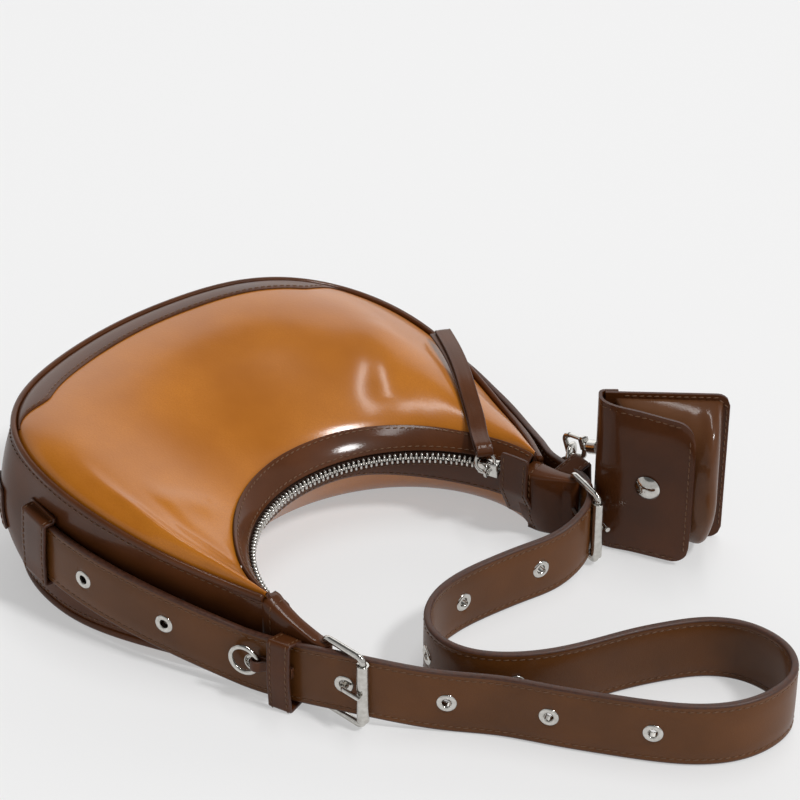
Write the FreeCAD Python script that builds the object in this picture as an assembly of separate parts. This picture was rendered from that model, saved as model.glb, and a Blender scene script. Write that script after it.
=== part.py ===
import FreeCAD, Part
import math
import os

# Half moon shoulder bag with an adjustable buckled strap and a clip-on snap pouch.
# It lies on its back panel. X runs from horn to horn, +Y points to the rounded bottom and +Z is up.
# The origin is on the face that it rests on. Lengths are in millimetres and angles in degrees.
# Angles are measured about the centre of the mouth arc, from +Y towards +X.

V = FreeCAD.Vector
UP = V(0, 0, 1)

# Outline of the bag
MOUTH_SETBACK = 140.0       # from the origin back to the centre of the mouth arc
MOUTH_RADIUS = 74.0         # zip line in the mouth
MOUTH_HEIGHT = 33.5         # zip line above the rest face
BOTTOM_RADIUS = 194.0       # rounded bottom about the mouth centre
HORN_RADIUS = 60.5          # radius that the arms taper towards
BOTTOM_HALF_ANGLE = 18.7    # the bottom is a true arc up to here
ARM_TAPER_ANGLE = 41.8
ARM_END = {"left": -85.0, "right": 80.0}
BOTTOM_HEIGHT = 71.5        # front seam above the rest face
LEFT_HORN_HEIGHT = 40.0
LEFT_SHOULDER_ANGLE = 30.0
RIGHT_HORN_HEIGHT = 35.0
RIGHT_SHOULDER_ANGLE = 6.0
SHOULDER_FALL_ANGLE = 30.0
SLUMP_DEPTH = 11.0          # the right arm sags here
SLUMP_ANGLE = 58.0
SLUMP_SPREAD = 14.0
CROWN = 12.0                # how far the front panel bulges
CROWN_TAPER = 0.7           # power of the arm's width

# Leather, lining and seams
LEATHER = 1.6
BAND_LEATHER = 1.4
LINING = 0.5
LINING_SETBACK = 15.0       # angle from the end of each arm
SEAM_GAP = 0.3
BINDING_WIDTH = 2.8
BINDING_HEIGHT = 3.2
BINDING_PROUD = 0.8
BAND_REACH = 14.0
BAND_RISE = 11.0
BAND_LEAN = 0.3             # share of that rise lost towards the horns
BACK_BAND_DROP = 18.5
BACK_BAND_REACH = 6.0
BACK_BAND_TAPER = 0.9
BACK_FOOT_REACH = 21.0
BACK_FOOT_TAPER = 0.75
PATCH_DEPTH = 15.5
PATCH_START = -36.5
PATCH_END = 30.5
PATCH_TIP = 1.0
PATCH_OGEE = 8.0            # angle over which each end runs out
PATCH_LEATHER = 1.0

# Zips
TEETH_PITCH = 2.5
TOOTH_WIDTH = 1.1
TOOTH_DEPTH = 2.6
TOOTH_HEIGHT = 2.8
TOOTH_LAP = 1.0
TAPE = 0.8
TAPE_WIDTH = 7.0
TAPE_SLOPE = 0.38
BAND_OPENING = 3.6          # zip line to the edge of each mouth band
MOUTH_ZIP_START = -77.0
MOUTH_ZIP_END = 73.0
TAPE_OVERRUN = 2.0          # angle past the teeth at each end
SLIDER_ANGLE = 66.6
SLIDER_LENGTH = 9.0
SLIDER_WIDTH = 8.0
SLIDER_PLATE = 1.8
SLIDER_FLANGE = 1.3
SLIDER_CLEARANCE = 0.4
LUG_WIDTH = 3.0
LUG_HEIGHT = 3.4
STOP_LENGTH = 2.2
MOUTH_TAB_WIDTH = 12.0
MOUTH_TAB_HEIGHT = 18.0
MOUTH_TAB_OVERHANG = 2.0    # past the end of the arm
BOTTOM_ZIP_HEIGHT = 35.0
BOTTOM_ZIP_ANGLE = 35.0
BOTTOM_SLOT = 6.4
BOTTOM_SLIDER_ANGLE = 26.0
BOTTOM_PULL_LENGTH = 24.0
BOTTOM_PULL_WIDTH = 8.0
END_PATCH_LENGTH = 15.5
END_PATCH_HEIGHT = 22.0
END_PATCH_LAP = 1.0         # angle over the zip

# Leather puller of the mouth zip
PULLER_WIDTH = 7.5
PULLER_THICKNESS = 2.6
PULLER_LIFT = 2.2           # clear of the front panel
PULLER_END = 2.6            # past the ring
PULL_WIRE = 1.6
PULL_BEND = 1.0
PULLER_POINTS = ((74.5, 48.0), (82.0, 60.5), (92.0, 77.0), (101.5, 94.0), (109.0, 109.0))

# Strap and its eyelets
STRAP_WIDTH = 30.0
STRAP_THICKNESS = 3.2
STRAP_FLOOR_GAP = 0.5
STRAP_STATIONS = 181
EYELET_SPACING = 43.0
EYELETS_EACH_END = 7
EYELET_HOLE = 5.2
EYELET_TUBE = 6.4
EYELET_FLANGE = 9.8
EYELET_RIM = 0.7
EYELET_SEAT = 0.15          # each flange is pressed into the leather
LEFT_PRONG_EYELET = 4       # counted from the strap's tip
RIGHT_PRONG_EYELET = 3
TAIL_KEEPER_ANGLE = {"left": -47.0, "right": 42.2}
TAIL_END_ANGLE = {"left": -45.6, "right": 40.8}
TAIL_REACH = 5.0            # angle before the end of the arm where the strap leaves the gusset
KEEPER_WIDTH = 15.0
KEEPER_LEATHER = 1.5
KEEPER_FOOT = 3.2
KEEPER_CLEARANCE = 0.5
# Free loop of the strap from the left buckle to the right one, about the mouth centre
STRAP_LOOP = (
    (-47.5, -66.5), (-33.0, -84.0), (-21.5, -102.0), (-9.0, -121.0), (2.0, -136.5), (15.5, -151.5),
    (30.0, -160.5), (47.0, -163.5), (61.0, -160.0), (69.5, -150.5), (72.0, -138.0), (69.0, -124.5),
    (60.5, -113.5), (47.0, -105.0), (30.0, -97.5), (12.0, -91.5), (-4.0, -85.0), (-18.0, -76.0),
    (-28.5, -64.5), (-33.0, -52.0), (-31.0, -39.0), (-22.5, -28.5), (-9.5, -22.0), (5.0, -20.0),
    (22.0, -21.0), (40.0, -23.5), (57.0, -25.5))

# Buckles and horns
HORN_LENGTH = {"left": 29.7, "right": 19.0}
HORN_HEADING = {"left": 11.3, "right": 19.0}     # from -Y towards +X
BUCKLE_HEADING = {"left": 4.4, "right": -13.6}
OUTWARD = {"left": -1.0, "right": 1.0}
BUCKLE_LENGTH = 22.0
BUCKLE_WIRE = 3.0
BUCKLE_CORNER = 2.8
STRAP_WRAP = {"left": 28.0, "right": 48.0}       # the strap's turn inside each roller
STRAP_CLEARANCE = 0.9
ROLLER_WALL = 0.9
ROLLER_GAP = 0.25
PRONG_WIRE = 2.2
PRONG_BEND = 2.4
PRONG_EYE_HEIGHT = 2.8
TAB_LEATHER = 1.5
TAB_GAP = 0.3
HORN_FLARE = 2.0            # the tab spreads to the arm over this length
HORN_KEEPER_WIDTH = 11.0
HORN_KEEPER_PLAY = 1.2      # above and below the strap
HORN_KEEPER_SETBACK = {"left": 15.5, "right": 9.0}

# Side rings
RING_RADIUS = 6.4
RING_WIRE = 2.2
RING_TAB_HEIGHT = 5.0
RING_TAB_LEATHER = 1.0
RING_EYE = 2.0              # bore of the tab's eye, which clears the curve of the ring
RING_TAB_REACH = 5.5
RING_SWING = {"left": 4.0, "right": 55.0}
RING_HEIGHT = {"left": 20.0, "right": 27.0}

# Snap pouch and its hook, the pouch measured from its top fold
POUCH_CORNER = (101.0, -9.0)
POUCH_HEADING = -44.0
POUCH_LENGTH = 56.0
POUCH_WIDTH = 77.0
POUCH_DEPTH = 29.0
POUCH_TOP_DEPTH = 12.5
POUCH_WALL = 1.4
POUCH_MOUTH = 11.0
POUCH_MARGIN = 2.0
POUCH_ROUND = 6.0
POUCH_FLOOR_GAP = 0.2
FLAP_LENGTH = 40.0
FLAP_GAP = 0.5
FLAP_RISE = 8.8             # past the body's front edge to the fold
FLAP_FOLD = 0.6             # share of the fold's depth where it turns over
FLAP_CORNER = 8.0
SNAP_DIAMETER = 12.0
SNAP_POST = 4.0
SNAP_PLACE = 19.8
SNAP_DOME = 3.0
HOOK_WIRE = 2.6
HOOK_LOOP = 5.2             # half the hook's width at the middle of its wire
HOOK_BEND = 2.6
HOOK_PLAY = 0.7             # on the ring, which crosses the hook at a slant
HOOK_HEAD = 1.8
HOOK_GATE_WIRE = 2.0
HOOK_PIN = 1.3
HOOK_CHEEK = 0.7
CHEEK_MARGIN = 0.4          # round the gate pin
SWIVEL_RADIUS = 3.4
SWIVEL_LENGTH = 6.0
EYE_WIDTH = 13.0
EYE_LENGTH = 8.0
EYE_WIRE = 2.0
EYE_LEGS = 2.8              # between the middles of its two legs at the barrel
EYE_BEND = 1.6
POUCH_TAB_HEIGHT = 4.6
POUCH_TAB_LENGTH = 18.0
POUCH_TAB_PLACE = 4.0
POUCH_TAB_RAISE = 6.0
POUCH_TAB_LEATHER = 1.2

STATIONS_PER_FACE = 12
parts = {}


def flat(x, y, z=0.0):
    """A point given about the mouth centre, moved into the bag's frame."""
    return V(x, y - MOUTH_SETBACK, z)


def at(angle, radius, height):
    turn = math.radians(angle)
    return flat(radius * math.sin(turn), radius * math.cos(turn), height)


def heading(angle):
    """A level direction, from -Y towards +X."""
    turn = math.radians(angle)
    return V(math.sin(turn), -math.cos(turn), 0)


def spread(first, last, count):
    return [first + (last - first) * i / (count - 1) for i in range(count)]


def outline_radius(angle):
    turn = max(0.0, abs(angle) - BOTTOM_HALF_ANGLE) / ARM_TAPER_ANGLE
    return HORN_RADIUS + (BOTTOM_RADIUS - HORN_RADIUS) / (1 + turn ** 3)


def seam_height(angle):
    """Height of the front seam, with the right arm slumped."""
    horn = LEFT_HORN_HEIGHT if angle < 0 else RIGHT_HORN_HEIGHT
    shoulder = LEFT_SHOULDER_ANGLE if angle < 0 else RIGHT_SHOULDER_ANGLE
    turn = max(0.0, abs(angle) - shoulder) / SHOULDER_FALL_ANGLE
    slump = SLUMP_DEPTH * math.exp(-((angle - SLUMP_ANGLE) / SLUMP_SPREAD) ** 2)
    return horn + (BOTTOM_HEIGHT - horn) / (1 + turn ** 3) - slump


def edge_normal(angle):
    step = 0.05
    along = at(angle + step, outline_radius(angle + step), 0) - at(angle - step, outline_radius(angle - step), 0)
    along.normalize()
    return V(-along.y, along.x, 0)


def edge(angle, out, height):
    """A point outside the outline by a distance square to it."""
    return at(angle, outline_radius(angle), height) + edge_normal(angle) * out


def band_radius(angle):
    width = outline_radius(angle) - MOUTH_RADIUS
    return MOUTH_RADIUS + width * BAND_REACH / (width + BAND_REACH)


def band_height(angle):
    lean = (seam_height(angle) - MOUTH_HEIGHT) / (BOTTOM_HEIGHT - MOUTH_HEIGHT)
    return MOUTH_HEIGHT + BAND_RISE * (1 - BAND_LEAN + BAND_LEAN * lean)


def panel_point(angle, share, lift=0.0):
    """A point of the front panel's outer face, from the seam (0) to the mouth band (1)."""
    outer = edge(angle, BINDING_PROUD - BINDING_WIDTH - SEAM_GAP, 0)
    inner = at(angle, band_radius(angle) + BAND_LEATHER + SEAM_GAP, 0)
    width = (outline_radius(angle) - MOUTH_RADIUS) / (BOTTOM_RADIUS - MOUTH_RADIUS)
    rise = CROWN * width ** CROWN_TAPER * 4 * share * (1 - share)
    height = seam_height(angle) * (1 - share) + band_height(angle) * share + rise
    return outer + (inner - outer) * share + UP * (height + lift)


def panel_height(x, y):
    """Height of the front panel's outer face at a point about the mouth centre."""
    angle = math.degrees(math.atan2(x, y))
    outer = panel_point(angle, 0)
    inner = panel_point(angle, 1)
    run = inner - outer
    run.z = 0
    share = (flat(x, y) - outer).dot(run) / run.dot(run)
    return panel_point(angle, min(max(share, 0.0), 1.0)).z


def smooth(points):
    """A curve through points at even parameters from 0 to 1."""
    curve = Part.BSplineCurve()
    last = len(points) - 1
    curve.interpolate(Points=points, Parameters=[i / last for i in range(last + 1)])
    return curve


def rail(points):
    return smooth(points).toShape()


def close(faces):
    """One solid from faces that meet at their edges."""
    skin = Part.makeCompound(faces)
    skin.sewShape()
    solid = Part.makeSolid(Part.makeShell(skin.Faces))
    if solid.Volume < 0:
        solid.reverse()
    return solid


def strip(rails):
    """A long solid with four curved edges, flat ends and faces of a moderate length."""
    curves = [smooth(points) for points in rails]
    spans = math.ceil(len(rails[0]) / STATIONS_PER_FACE)
    faces = []
    for span in range(spans):
        edges = [curve.toShape(span / spans, (span + 1) / spans) for curve in curves]
        faces += [Part.makeRuledSurface(edges[i], edges[i - 1]) for i in range(4)]
    for end in (0, -1):
        corners = [points[end] for points in rails]
        faces.append(Part.Face(Part.makePolygon(corners + corners[:1])))
    return close(faces)


def sheet(outer, inner):
    """A crowned sheet between two grids of points."""
    skins = []
    for rows in (outer, inner):
        skin = Part.BSplineSurface()
        skin.interpolate(rows)
        skins.append(skin)
    faces = [skin.toShape() for skin in skins]
    borders = []
    for skin in skins:
        u_low, u_high, v_low, v_high = skin.bounds()
        borders.append((skin.uIso(u_low), skin.uIso(u_high), skin.vIso(v_low), skin.vIso(v_high)))
    for one, other in zip(*borders):
        faces.append(Part.makeRuledSurface(one.toShape(), other.toShape()))
    return close(faces)


def prism(points, low, high):
    """An upright solid over a level outline."""
    corners = [V(p.x, p.y, low) for p in points]
    return Part.Face(Part.makePolygon(corners + corners[:1])).extrude(UP * (high - low))


def box(length, depth, height):
    """A box centred on the origin."""
    return Part.makeBox(length, depth, height, V(-length / 2, -depth / 2, -height / 2))


def seat(shape, origin, along, out):
    """Carries a shape's X to along, its Y to out and its Z to their cross product."""
    along = V(along).normalize()
    across = along.cross(out).normalize()
    turn = FreeCAD.Rotation(along, across.cross(along), across, "XZY")
    placed = shape.copy()
    placed.Placement = FreeCAD.Placement(origin, turn).multiply(shape.Placement)
    return placed


def wire_path(points, bend):
    """Straight runs joined by arcs of one radius."""
    edges = []
    start = points[0]
    for before, corner, after in zip(points, points[1:], points[2:]):
        back = (before - corner).normalize()
        ahead = (after - corner).normalize()
        half = back.getAngle(ahead) / 2
        reach = bend / math.tan(half)
        first = corner + back * reach
        last = corner + ahead * reach
        middle = (back + ahead).normalize()
        centre = corner + middle * (bend / math.sin(half))
        edges.append(Part.LineSegment(start, first).toShape())
        edges.append(Part.Arc(first, centre - middle * bend, last).toShape())
        start = last
    edges.append(Part.LineSegment(start, points[-1]).toShape())
    return Part.Wire(edges)


def round_bar(points, diameter, bend):
    """A round wire bent along a path of runs and arcs."""
    path = wire_path(points, bend)
    first = (points[1] - points[0]).normalize()
    ring = Part.Wire(Part.makeCircle(diameter / 2, points[0], first))
    return path.makePipeShell([ring], True, False)


def rod(start, end, diameter):
    run = end - start
    return Part.makeCylinder(diameter / 2, run.Length, start, run)


def grid(angles, shares, place):
    return [[place(angle, share) for share in shares] for angle in angles]


def section_strip(angles, outline):
    """A strip whose four edges come from a function of the angle."""
    corners = [outline(angle) for angle in angles]
    return strip([[points[i] for points in corners] for i in range(4)])


# Front and back panels, their patch and the lining
bag_angles = spread(ARM_END["left"], ARM_END["right"], 23)
panel_shares = (0, 0.12, 0.3, 0.5, 0.7, 0.88, 1)
parts["front_panel"] = sheet(
    grid(bag_angles, panel_shares, panel_point),
    grid(bag_angles, panel_shares, lambda angle, share: panel_point(angle, share, -LEATHER)))


def patch_point(angle, share, lift):
    """A point of the bottom patch, whose inner edge runs out in an ogee at both ends."""
    ogee = min((angle - PATCH_START) / PATCH_OGEE, (PATCH_END - angle) / PATCH_OGEE, 1.0)
    depth = PATCH_TIP + (PATCH_DEPTH - PATCH_TIP) * ogee * ogee * (3 - 2 * ogee)
    reach = (panel_point(angle, 1) - panel_point(angle, 0)).Length
    return panel_point(angle, share * depth / reach, lift)


patch_angles = spread(PATCH_START, PATCH_END, 33)
patch_shares = (0, 0.35, 0.7, 1)
parts["front_bottom_patch"] = sheet(
    grid(patch_angles, patch_shares, lambda a, s: patch_point(a, s, SEAM_GAP + PATCH_LEATHER)),
    grid(patch_angles, patch_shares, lambda a, s: patch_point(a, s, SEAM_GAP)))

lining_angles = spread(ARM_END["left"] + LINING_SETBACK, ARM_END["right"] - LINING_SETBACK, 17)
lining_shares = (0.06, 0.25, 0.5, 0.75, 0.94)
lining_drop = LEATHER + SEAM_GAP
parts["lining_front"] = sheet(
    grid(lining_angles, lining_shares, lambda a, s: panel_point(a, s, -lining_drop)),
    grid(lining_angles, lining_shares, lambda a, s: panel_point(a, s, -lining_drop - LINING)))


def foot_radius(angle):
    """Where the back panel leaves the rest face for the mouth."""
    width = outline_radius(angle) - MOUTH_RADIUS
    return MOUTH_RADIUS + width * BACK_FOOT_REACH / (width * BACK_FOOT_TAPER + BACK_FOOT_REACH)


def back_band_foot(angle):
    width = outline_radius(angle) - MOUTH_RADIUS
    return MOUTH_RADIUS + width * BACK_BAND_REACH / (width * BACK_BAND_TAPER + BACK_BAND_REACH)


def crescent(angles, inset, inner_radius, low, high):
    """A level crescent plate, inset from the outline."""
    outer = [edge(angle, -inset, low) for angle in angles]
    inner = [at(angle, inner_radius(angle), low) for angle in angles]
    sides = [rail(outer), rail(inner)]
    sides.append(Part.makeLine(outer[0], inner[0]))
    sides.append(Part.makeLine(outer[-1], inner[-1]))
    return Part.Face(Part.Wire(Part.__sortEdges__(sides))).extrude(UP * (high - low))


binding_inset = BINDING_WIDTH - BINDING_PROUD + SEAM_GAP
back_band_low = MOUTH_HEIGHT - BACK_BAND_DROP


def back_rise(angle):
    """Section of the back panel that climbs from the rest face to the back mouth band."""
    foot = foot_radius(angle)
    top = back_band_foot(angle) + BAND_LEATHER + SEAM_GAP
    return (at(angle, foot, 0), at(angle, foot + LEATHER, LEATHER),
            at(angle, top + LEATHER, back_band_low), at(angle, top, back_band_low))


plate = crescent(bag_angles, binding_inset, foot_radius, 0, LEATHER)
parts["back_panel"] = plate.fuse(section_strip(bag_angles, back_rise)).removeSplitter()
parts["lining_back"] = crescent(
    spread(ARM_END["left"] + LINING_SETBACK, ARM_END["right"] - LINING_SETBACK, 17), binding_inset + LEATHER,
    lambda angle: foot_radius(angle) + 2 * LEATHER, LEATHER + SEAM_GAP, LEATHER + SEAM_GAP + LINING)

# Seam bindings along the front and back edges


def binding(angle, low):
    inner = BINDING_PROUD - BINDING_WIDTH
    return (edge(angle, inner, low), edge(angle, BINDING_PROUD, low),
            edge(angle, BINDING_PROUD, low + BINDING_HEIGHT), edge(angle, inner, low + BINDING_HEIGHT))


parts["front_seam_binding"] = section_strip(
    bag_angles, lambda angle: binding(angle, seam_height(angle) - BINDING_HEIGHT + BINDING_PROUD))
parts["back_seam_binding"] = section_strip(bag_angles, lambda angle: binding(angle, 0))

# Gusset: two arms and, between them, two strips on either side of the bottom zip
gusset_low = BINDING_HEIGHT + SEAM_GAP


def gusset_high(angle):
    return seam_height(angle) - BINDING_HEIGHT + BINDING_PROUD - SEAM_GAP


def wall(angle, low, high, inner=-LEATHER, outer=0.0):
    """Section of an upright wall along the outline."""
    return (edge(angle, inner, low), edge(angle, outer, low), edge(angle, outer, high), edge(angle, inner, high))


slot_low = BOTTOM_ZIP_HEIGHT - BOTTOM_SLOT / 2
slot_high = BOTTOM_ZIP_HEIGHT + BOTTOM_SLOT / 2
zip_angles = spread(-BOTTOM_ZIP_ANGLE, BOTTOM_ZIP_ANGLE, 15)
arm_gap = math.degrees(SEAM_GAP / BOTTOM_RADIUS)
parts["gusset_arm_left"] = section_strip(
    spread(ARM_END["left"], -BOTTOM_ZIP_ANGLE - arm_gap, 13), lambda a: wall(a, gusset_low, gusset_high(a)))
parts["gusset_arm_right"] = section_strip(
    spread(BOTTOM_ZIP_ANGLE + arm_gap, ARM_END["right"], 13), lambda a: wall(a, gusset_low, gusset_high(a)))
parts["gusset_front_strip"] = section_strip(zip_angles, lambda a: wall(a, slot_high, gusset_high(a)))
parts["gusset_back_strip"] = section_strip(zip_angles, lambda a: wall(a, gusset_low, slot_low))

# Mouth bands and zip tapes


def band_section(top, bottom, thickness):
    """Section of a band between two (angle, radius, height) places, thickened into the bag."""
    angle = top[0]
    run = V(bottom[1] - top[1], 0, bottom[2] - top[2]).normalize()
    inward = V(-run.z, 0, run.x) * thickness
    ends = (top, bottom)
    outer = [at(*end) for end in ends]
    inner = [at(angle, end[1] + inward.x, end[2] + inward.z) for end in ends]
    return (outer[0], outer[1], inner[1], inner[0])


band_edge = MOUTH_RADIUS + TOOTH_DEPTH
tape_edge = MOUTH_RADIUS + TOOTH_DEPTH / 2 + SEAM_GAP
tape_back = tape_edge + TAPE_WIDTH
parts["front_mouth_band"] = section_strip(bag_angles, lambda a: band_section(
    (a, band_radius(a), band_height(a)), (a, band_edge, MOUTH_HEIGHT + BAND_OPENING), BAND_LEATHER))
parts["back_mouth_band"] = section_strip(bag_angles, lambda a: band_section(
    (a, band_edge, MOUTH_HEIGHT - BAND_OPENING), (a, back_band_foot(a), back_band_low), BAND_LEATHER))
tape_angles = spread(MOUTH_ZIP_START - TAPE_OVERRUN, MOUTH_ZIP_END + TAPE_OVERRUN, 13)
tape_near = TOOTH_LAP
tape_far = TOOTH_LAP + TAPE_WIDTH * TAPE_SLOPE
parts["mouth_tape_front"] = section_strip(tape_angles, lambda a: (
    at(a, tape_edge, MOUTH_HEIGHT + tape_near), at(a, tape_edge, MOUTH_HEIGHT + tape_near - TAPE),
    at(a, tape_back, MOUTH_HEIGHT + tape_far - TAPE), at(a, tape_back, MOUTH_HEIGHT + tape_far)))
parts["mouth_tape_back"] = section_strip(tape_angles, lambda a: (
    at(a, tape_edge, MOUTH_HEIGHT - tape_near), at(a, tape_edge, MOUTH_HEIGHT - tape_near + TAPE),
    at(a, tape_back, MOUTH_HEIGHT - tape_far + TAPE), at(a, tape_back, MOUTH_HEIGHT - tape_far)))


def tangent(angle):
    turn = math.radians(angle)
    return V(math.cos(turn), -math.sin(turn), 0)


def radial(angle):
    turn = math.radians(angle)
    return V(math.sin(turn), math.cos(turn), 0)


def teeth(first, last, radius_at, height, side):
    """Zip teeth on one tape, set half a pitch from those on the other."""
    solids = []
    angle = first + (0.25 if side > 0 else 0.75) * math.degrees(TEETH_PITCH / radius_at(first))
    tooth = box(TOOTH_WIDTH, TOOTH_DEPTH, TOOTH_HEIGHT)
    while angle < last:
        centre = at(angle, radius_at(angle), height + side * (TOOTH_HEIGHT / 2 - TOOTH_LAP))
        solids.append(seat(tooth, centre, tangent(angle), radial(angle)))
        angle += math.degrees(TEETH_PITCH / radius_at(angle))
    return Part.makeCompound(solids)


def mouth_line(angle):
    return MOUTH_RADIUS


def bottom_line(angle):
    return outline_radius(angle) - LEATHER


parts["mouth_teeth_front"] = teeth(MOUTH_ZIP_START, MOUTH_ZIP_END, mouth_line, MOUTH_HEIGHT, 1)
parts["mouth_teeth_back"] = teeth(MOUTH_ZIP_START, MOUTH_ZIP_END, mouth_line, MOUTH_HEIGHT, -1)


def stops(first, last, radius_at, height):
    """A small metal block past the last tooth at each end of a zip."""
    solids = []
    for angle, way in ((first, -1), (last, 1)):
        place = angle + way * math.degrees((STOP_LENGTH / 2 + SEAM_GAP) / radius_at(angle))
        block = box(STOP_LENGTH, TOOTH_DEPTH, 2 * (TOOTH_HEIGHT - TOOTH_LAP))
        solids.append(seat(block, at(place, radius_at(place), height), tangent(place), radial(place)))
    return Part.makeCompound(solids)


parts["mouth_zip_stops"] = stops(MOUTH_ZIP_START, MOUTH_ZIP_END, mouth_line, MOUTH_HEIGHT)

# Mouth slider: a plate over the teeth with two flanges and a lug for the pull ring
plate_back = -TOOTH_DEPTH / 2 - SLIDER_CLEARANCE
flange_height = TOOTH_HEIGHT - TOOTH_LAP + SLIDER_CLEARANCE
plate_width = 2 * (flange_height + SLIDER_FLANGE)


def slider(width, flange_reach, lug_gap):
    """A slider in its own frame: X along the zip, +Y away from the bag and Z across the teeth."""
    body = Part.makeBox(SLIDER_LENGTH, SLIDER_PLATE, width, V(-SLIDER_LENGTH / 2, 0, -width / 2))
    if flange_reach:
        for low in (-width / 2, width / 2 - SLIDER_FLANGE):
            body = body.fuse(Part.makeBox(
                SLIDER_LENGTH, flange_reach, SLIDER_FLANGE, V(-SLIDER_LENGTH / 2, -flange_reach, low)))
    lug = Part.makeBox(LUG_WIDTH, LUG_HEIGHT, 2 * LUG_WIDTH, V(-LUG_WIDTH / 2, SLIDER_PLATE, -LUG_WIDTH))
    hole = Part.makeCylinder(lug_gap / 2, 2 * LUG_WIDTH, V(-LUG_WIDTH, SLIDER_PLATE + LUG_HEIGHT / 2, 0), V(1, 0, 0))
    return body.fuse(lug).cut(hole).removeSplitter()


slider_face = at(SLIDER_ANGLE, MOUTH_RADIUS + plate_back, MOUTH_HEIGHT)
lug_hole = PULL_WIRE + 2 * SLIDER_CLEARANCE
parts["mouth_slider"] = seat(
    slider(plate_width, TOOTH_DEPTH / 2 + SLIDER_CLEARANCE, lug_hole),
    slider_face, tangent(SLIDER_ANGLE) * -1, radial(SLIDER_ANGLE) * -1)

# Pull ring through the slider's lug, and the doubled leather puller that lies over the front panel
pull_axis = slider_face - radial(SLIDER_ANGLE) * (SLIDER_PLATE + LUG_HEIGHT / 2)
pull_side = tangent(SLIDER_ANGLE) * (PULLER_WIDTH / 2 + 2 * SLIDER_CLEARANCE + PULL_WIRE / 2)
puller_run = [flat(x, y, panel_height(x, y) + PULLER_LIFT + PULLER_THICKNESS / 2) for x, y in PULLER_POINTS]
pull_pass = V(pull_axis.x, pull_axis.y, puller_run[0].z)
pull_turn = (V(puller_run[0].x, puller_run[0].y, pull_pass.z) - pull_pass).normalize()
ring_top = pull_pass + UP * (PULLER_THICKNESS / 2 + SEAM_GAP + PULL_WIRE / 2)
top_side = pull_turn.cross(UP) * pull_side.Length
pull_butt = tangent(SLIDER_ANGLE) * (SEAM_GAP / 2)
parts["pull_ring"] = round_bar(
    [pull_axis + pull_butt, pull_axis + pull_side, ring_top + top_side, ring_top - top_side,
     pull_axis - pull_side, pull_axis - pull_butt], PULL_WIRE, PULL_BEND)

puller_curve = Part.BSplineCurve()
puller_curve.interpolate([pull_pass - pull_turn * PULLER_END] + puller_run)


def puller_rails():
    """Edges of the puller, level across its run."""
    rails = [[], [], [], []]
    for place in spread(puller_curve.FirstParameter, puller_curve.LastParameter, 33):
        point = puller_curve.value(place)
        run = V(puller_curve.tangent(place)[0])
        across = run.cross(UP).normalize()
        lift = across.cross(run).normalize()
        corners = ((-1, -1), (1, -1), (1, 1), (-1, 1))
        for points, (side, level) in zip(rails, corners):
            points.append(point + across * (side * PULLER_WIDTH / 2) + lift * (level * PULLER_THICKNESS / 2))
    return rails


parts["leather_puller"] = strip(puller_rails())

# Leather tabs over the ends of the mouth zip
for side, way in OUTWARD.items():
    place = ARM_END[side] - way * math.degrees((MOUTH_TAB_WIDTH / 2 - MOUTH_TAB_OVERHANG) / MOUTH_RADIUS)
    tab = box(MOUTH_TAB_WIDTH, BAND_LEATHER, MOUTH_TAB_HEIGHT)
    out = MOUTH_RADIUS - TOOTH_DEPTH / 2 - SEAM_GAP - BAND_LEATHER
    parts["mouth_tab_" + side] = seat(tab, at(place, out, MOUTH_HEIGHT), tangent(place), radial(place))

# Bottom zip in the gusset
teeth_end = BOTTOM_ZIP_ANGLE - TAPE_OVERRUN
parts["bottom_teeth_front"] = teeth(-teeth_end, teeth_end, bottom_line, BOTTOM_ZIP_HEIGHT, 1)
parts["bottom_teeth_back"] = teeth(-teeth_end, teeth_end, bottom_line, BOTTOM_ZIP_HEIGHT, -1)
parts["bottom_zip_stops"] = stops(-teeth_end, teeth_end, bottom_line, BOTTOM_ZIP_HEIGHT)
bottom_tape_out = -LEATHER - TOOTH_DEPTH / 2 - SEAM_GAP
for name, way in (("front", 1), ("back", -1)):
    near = BOTTOM_ZIP_HEIGHT + way * SEAM_GAP
    far = BOTTOM_ZIP_HEIGHT + way * (BOTTOM_SLOT / 2 + TAPE_WIDTH)
    parts["bottom_tape_" + name] = section_strip(zip_angles, lambda a: wall(
        a, min(near, far), max(near, far), bottom_tape_out - TAPE, bottom_tape_out))
bottom_face = at(BOTTOM_SLIDER_ANGLE, BOTTOM_RADIUS + SLIDER_CLEARANCE, BOTTOM_ZIP_HEIGHT)
parts["bottom_slider"] = seat(
    slider(SLIDER_WIDTH, 0, lug_hole), bottom_face, tangent(BOTTOM_SLIDER_ANGLE), radial(BOTTOM_SLIDER_ANGLE))

# Metal pull of the bottom zip, a bar with an eye, hanging from its slider
bottom_axis = bottom_face + radial(BOTTOM_SLIDER_ANGLE) * (SLIDER_PLATE + LUG_HEIGHT / 2)
pull_bar = Part.makeBox(BOTTOM_PULL_WIDTH, PULL_WIRE, BOTTOM_PULL_LENGTH,
                        V(-BOTTOM_PULL_WIDTH / 2, -PULL_WIRE / 2, PULL_WIRE / 2 - BOTTOM_PULL_LENGTH))
window = box(LUG_WIDTH + 2 * SLIDER_CLEARANCE, 2 * PULL_WIRE, 2 * LUG_WIDTH + 2 * SLIDER_CLEARANCE)
window.translate(V(0, 0, -PULL_WIRE / 2 - LUG_WIDTH - SLIDER_CLEARANCE))
pull_pin = Part.makeCylinder(PULL_WIRE / 2, BOTTOM_PULL_WIDTH, V(-BOTTOM_PULL_WIDTH / 2, 0, 0), V(1, 0, 0))
bottom_pull = pull_bar.cut(window).fuse(pull_pin).removeSplitter()
parts["bottom_pull"] = seat(
    bottom_pull, bottom_axis, tangent(BOTTOM_SLIDER_ANGLE), radial(BOTTOM_SLIDER_ANGLE))

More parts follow.
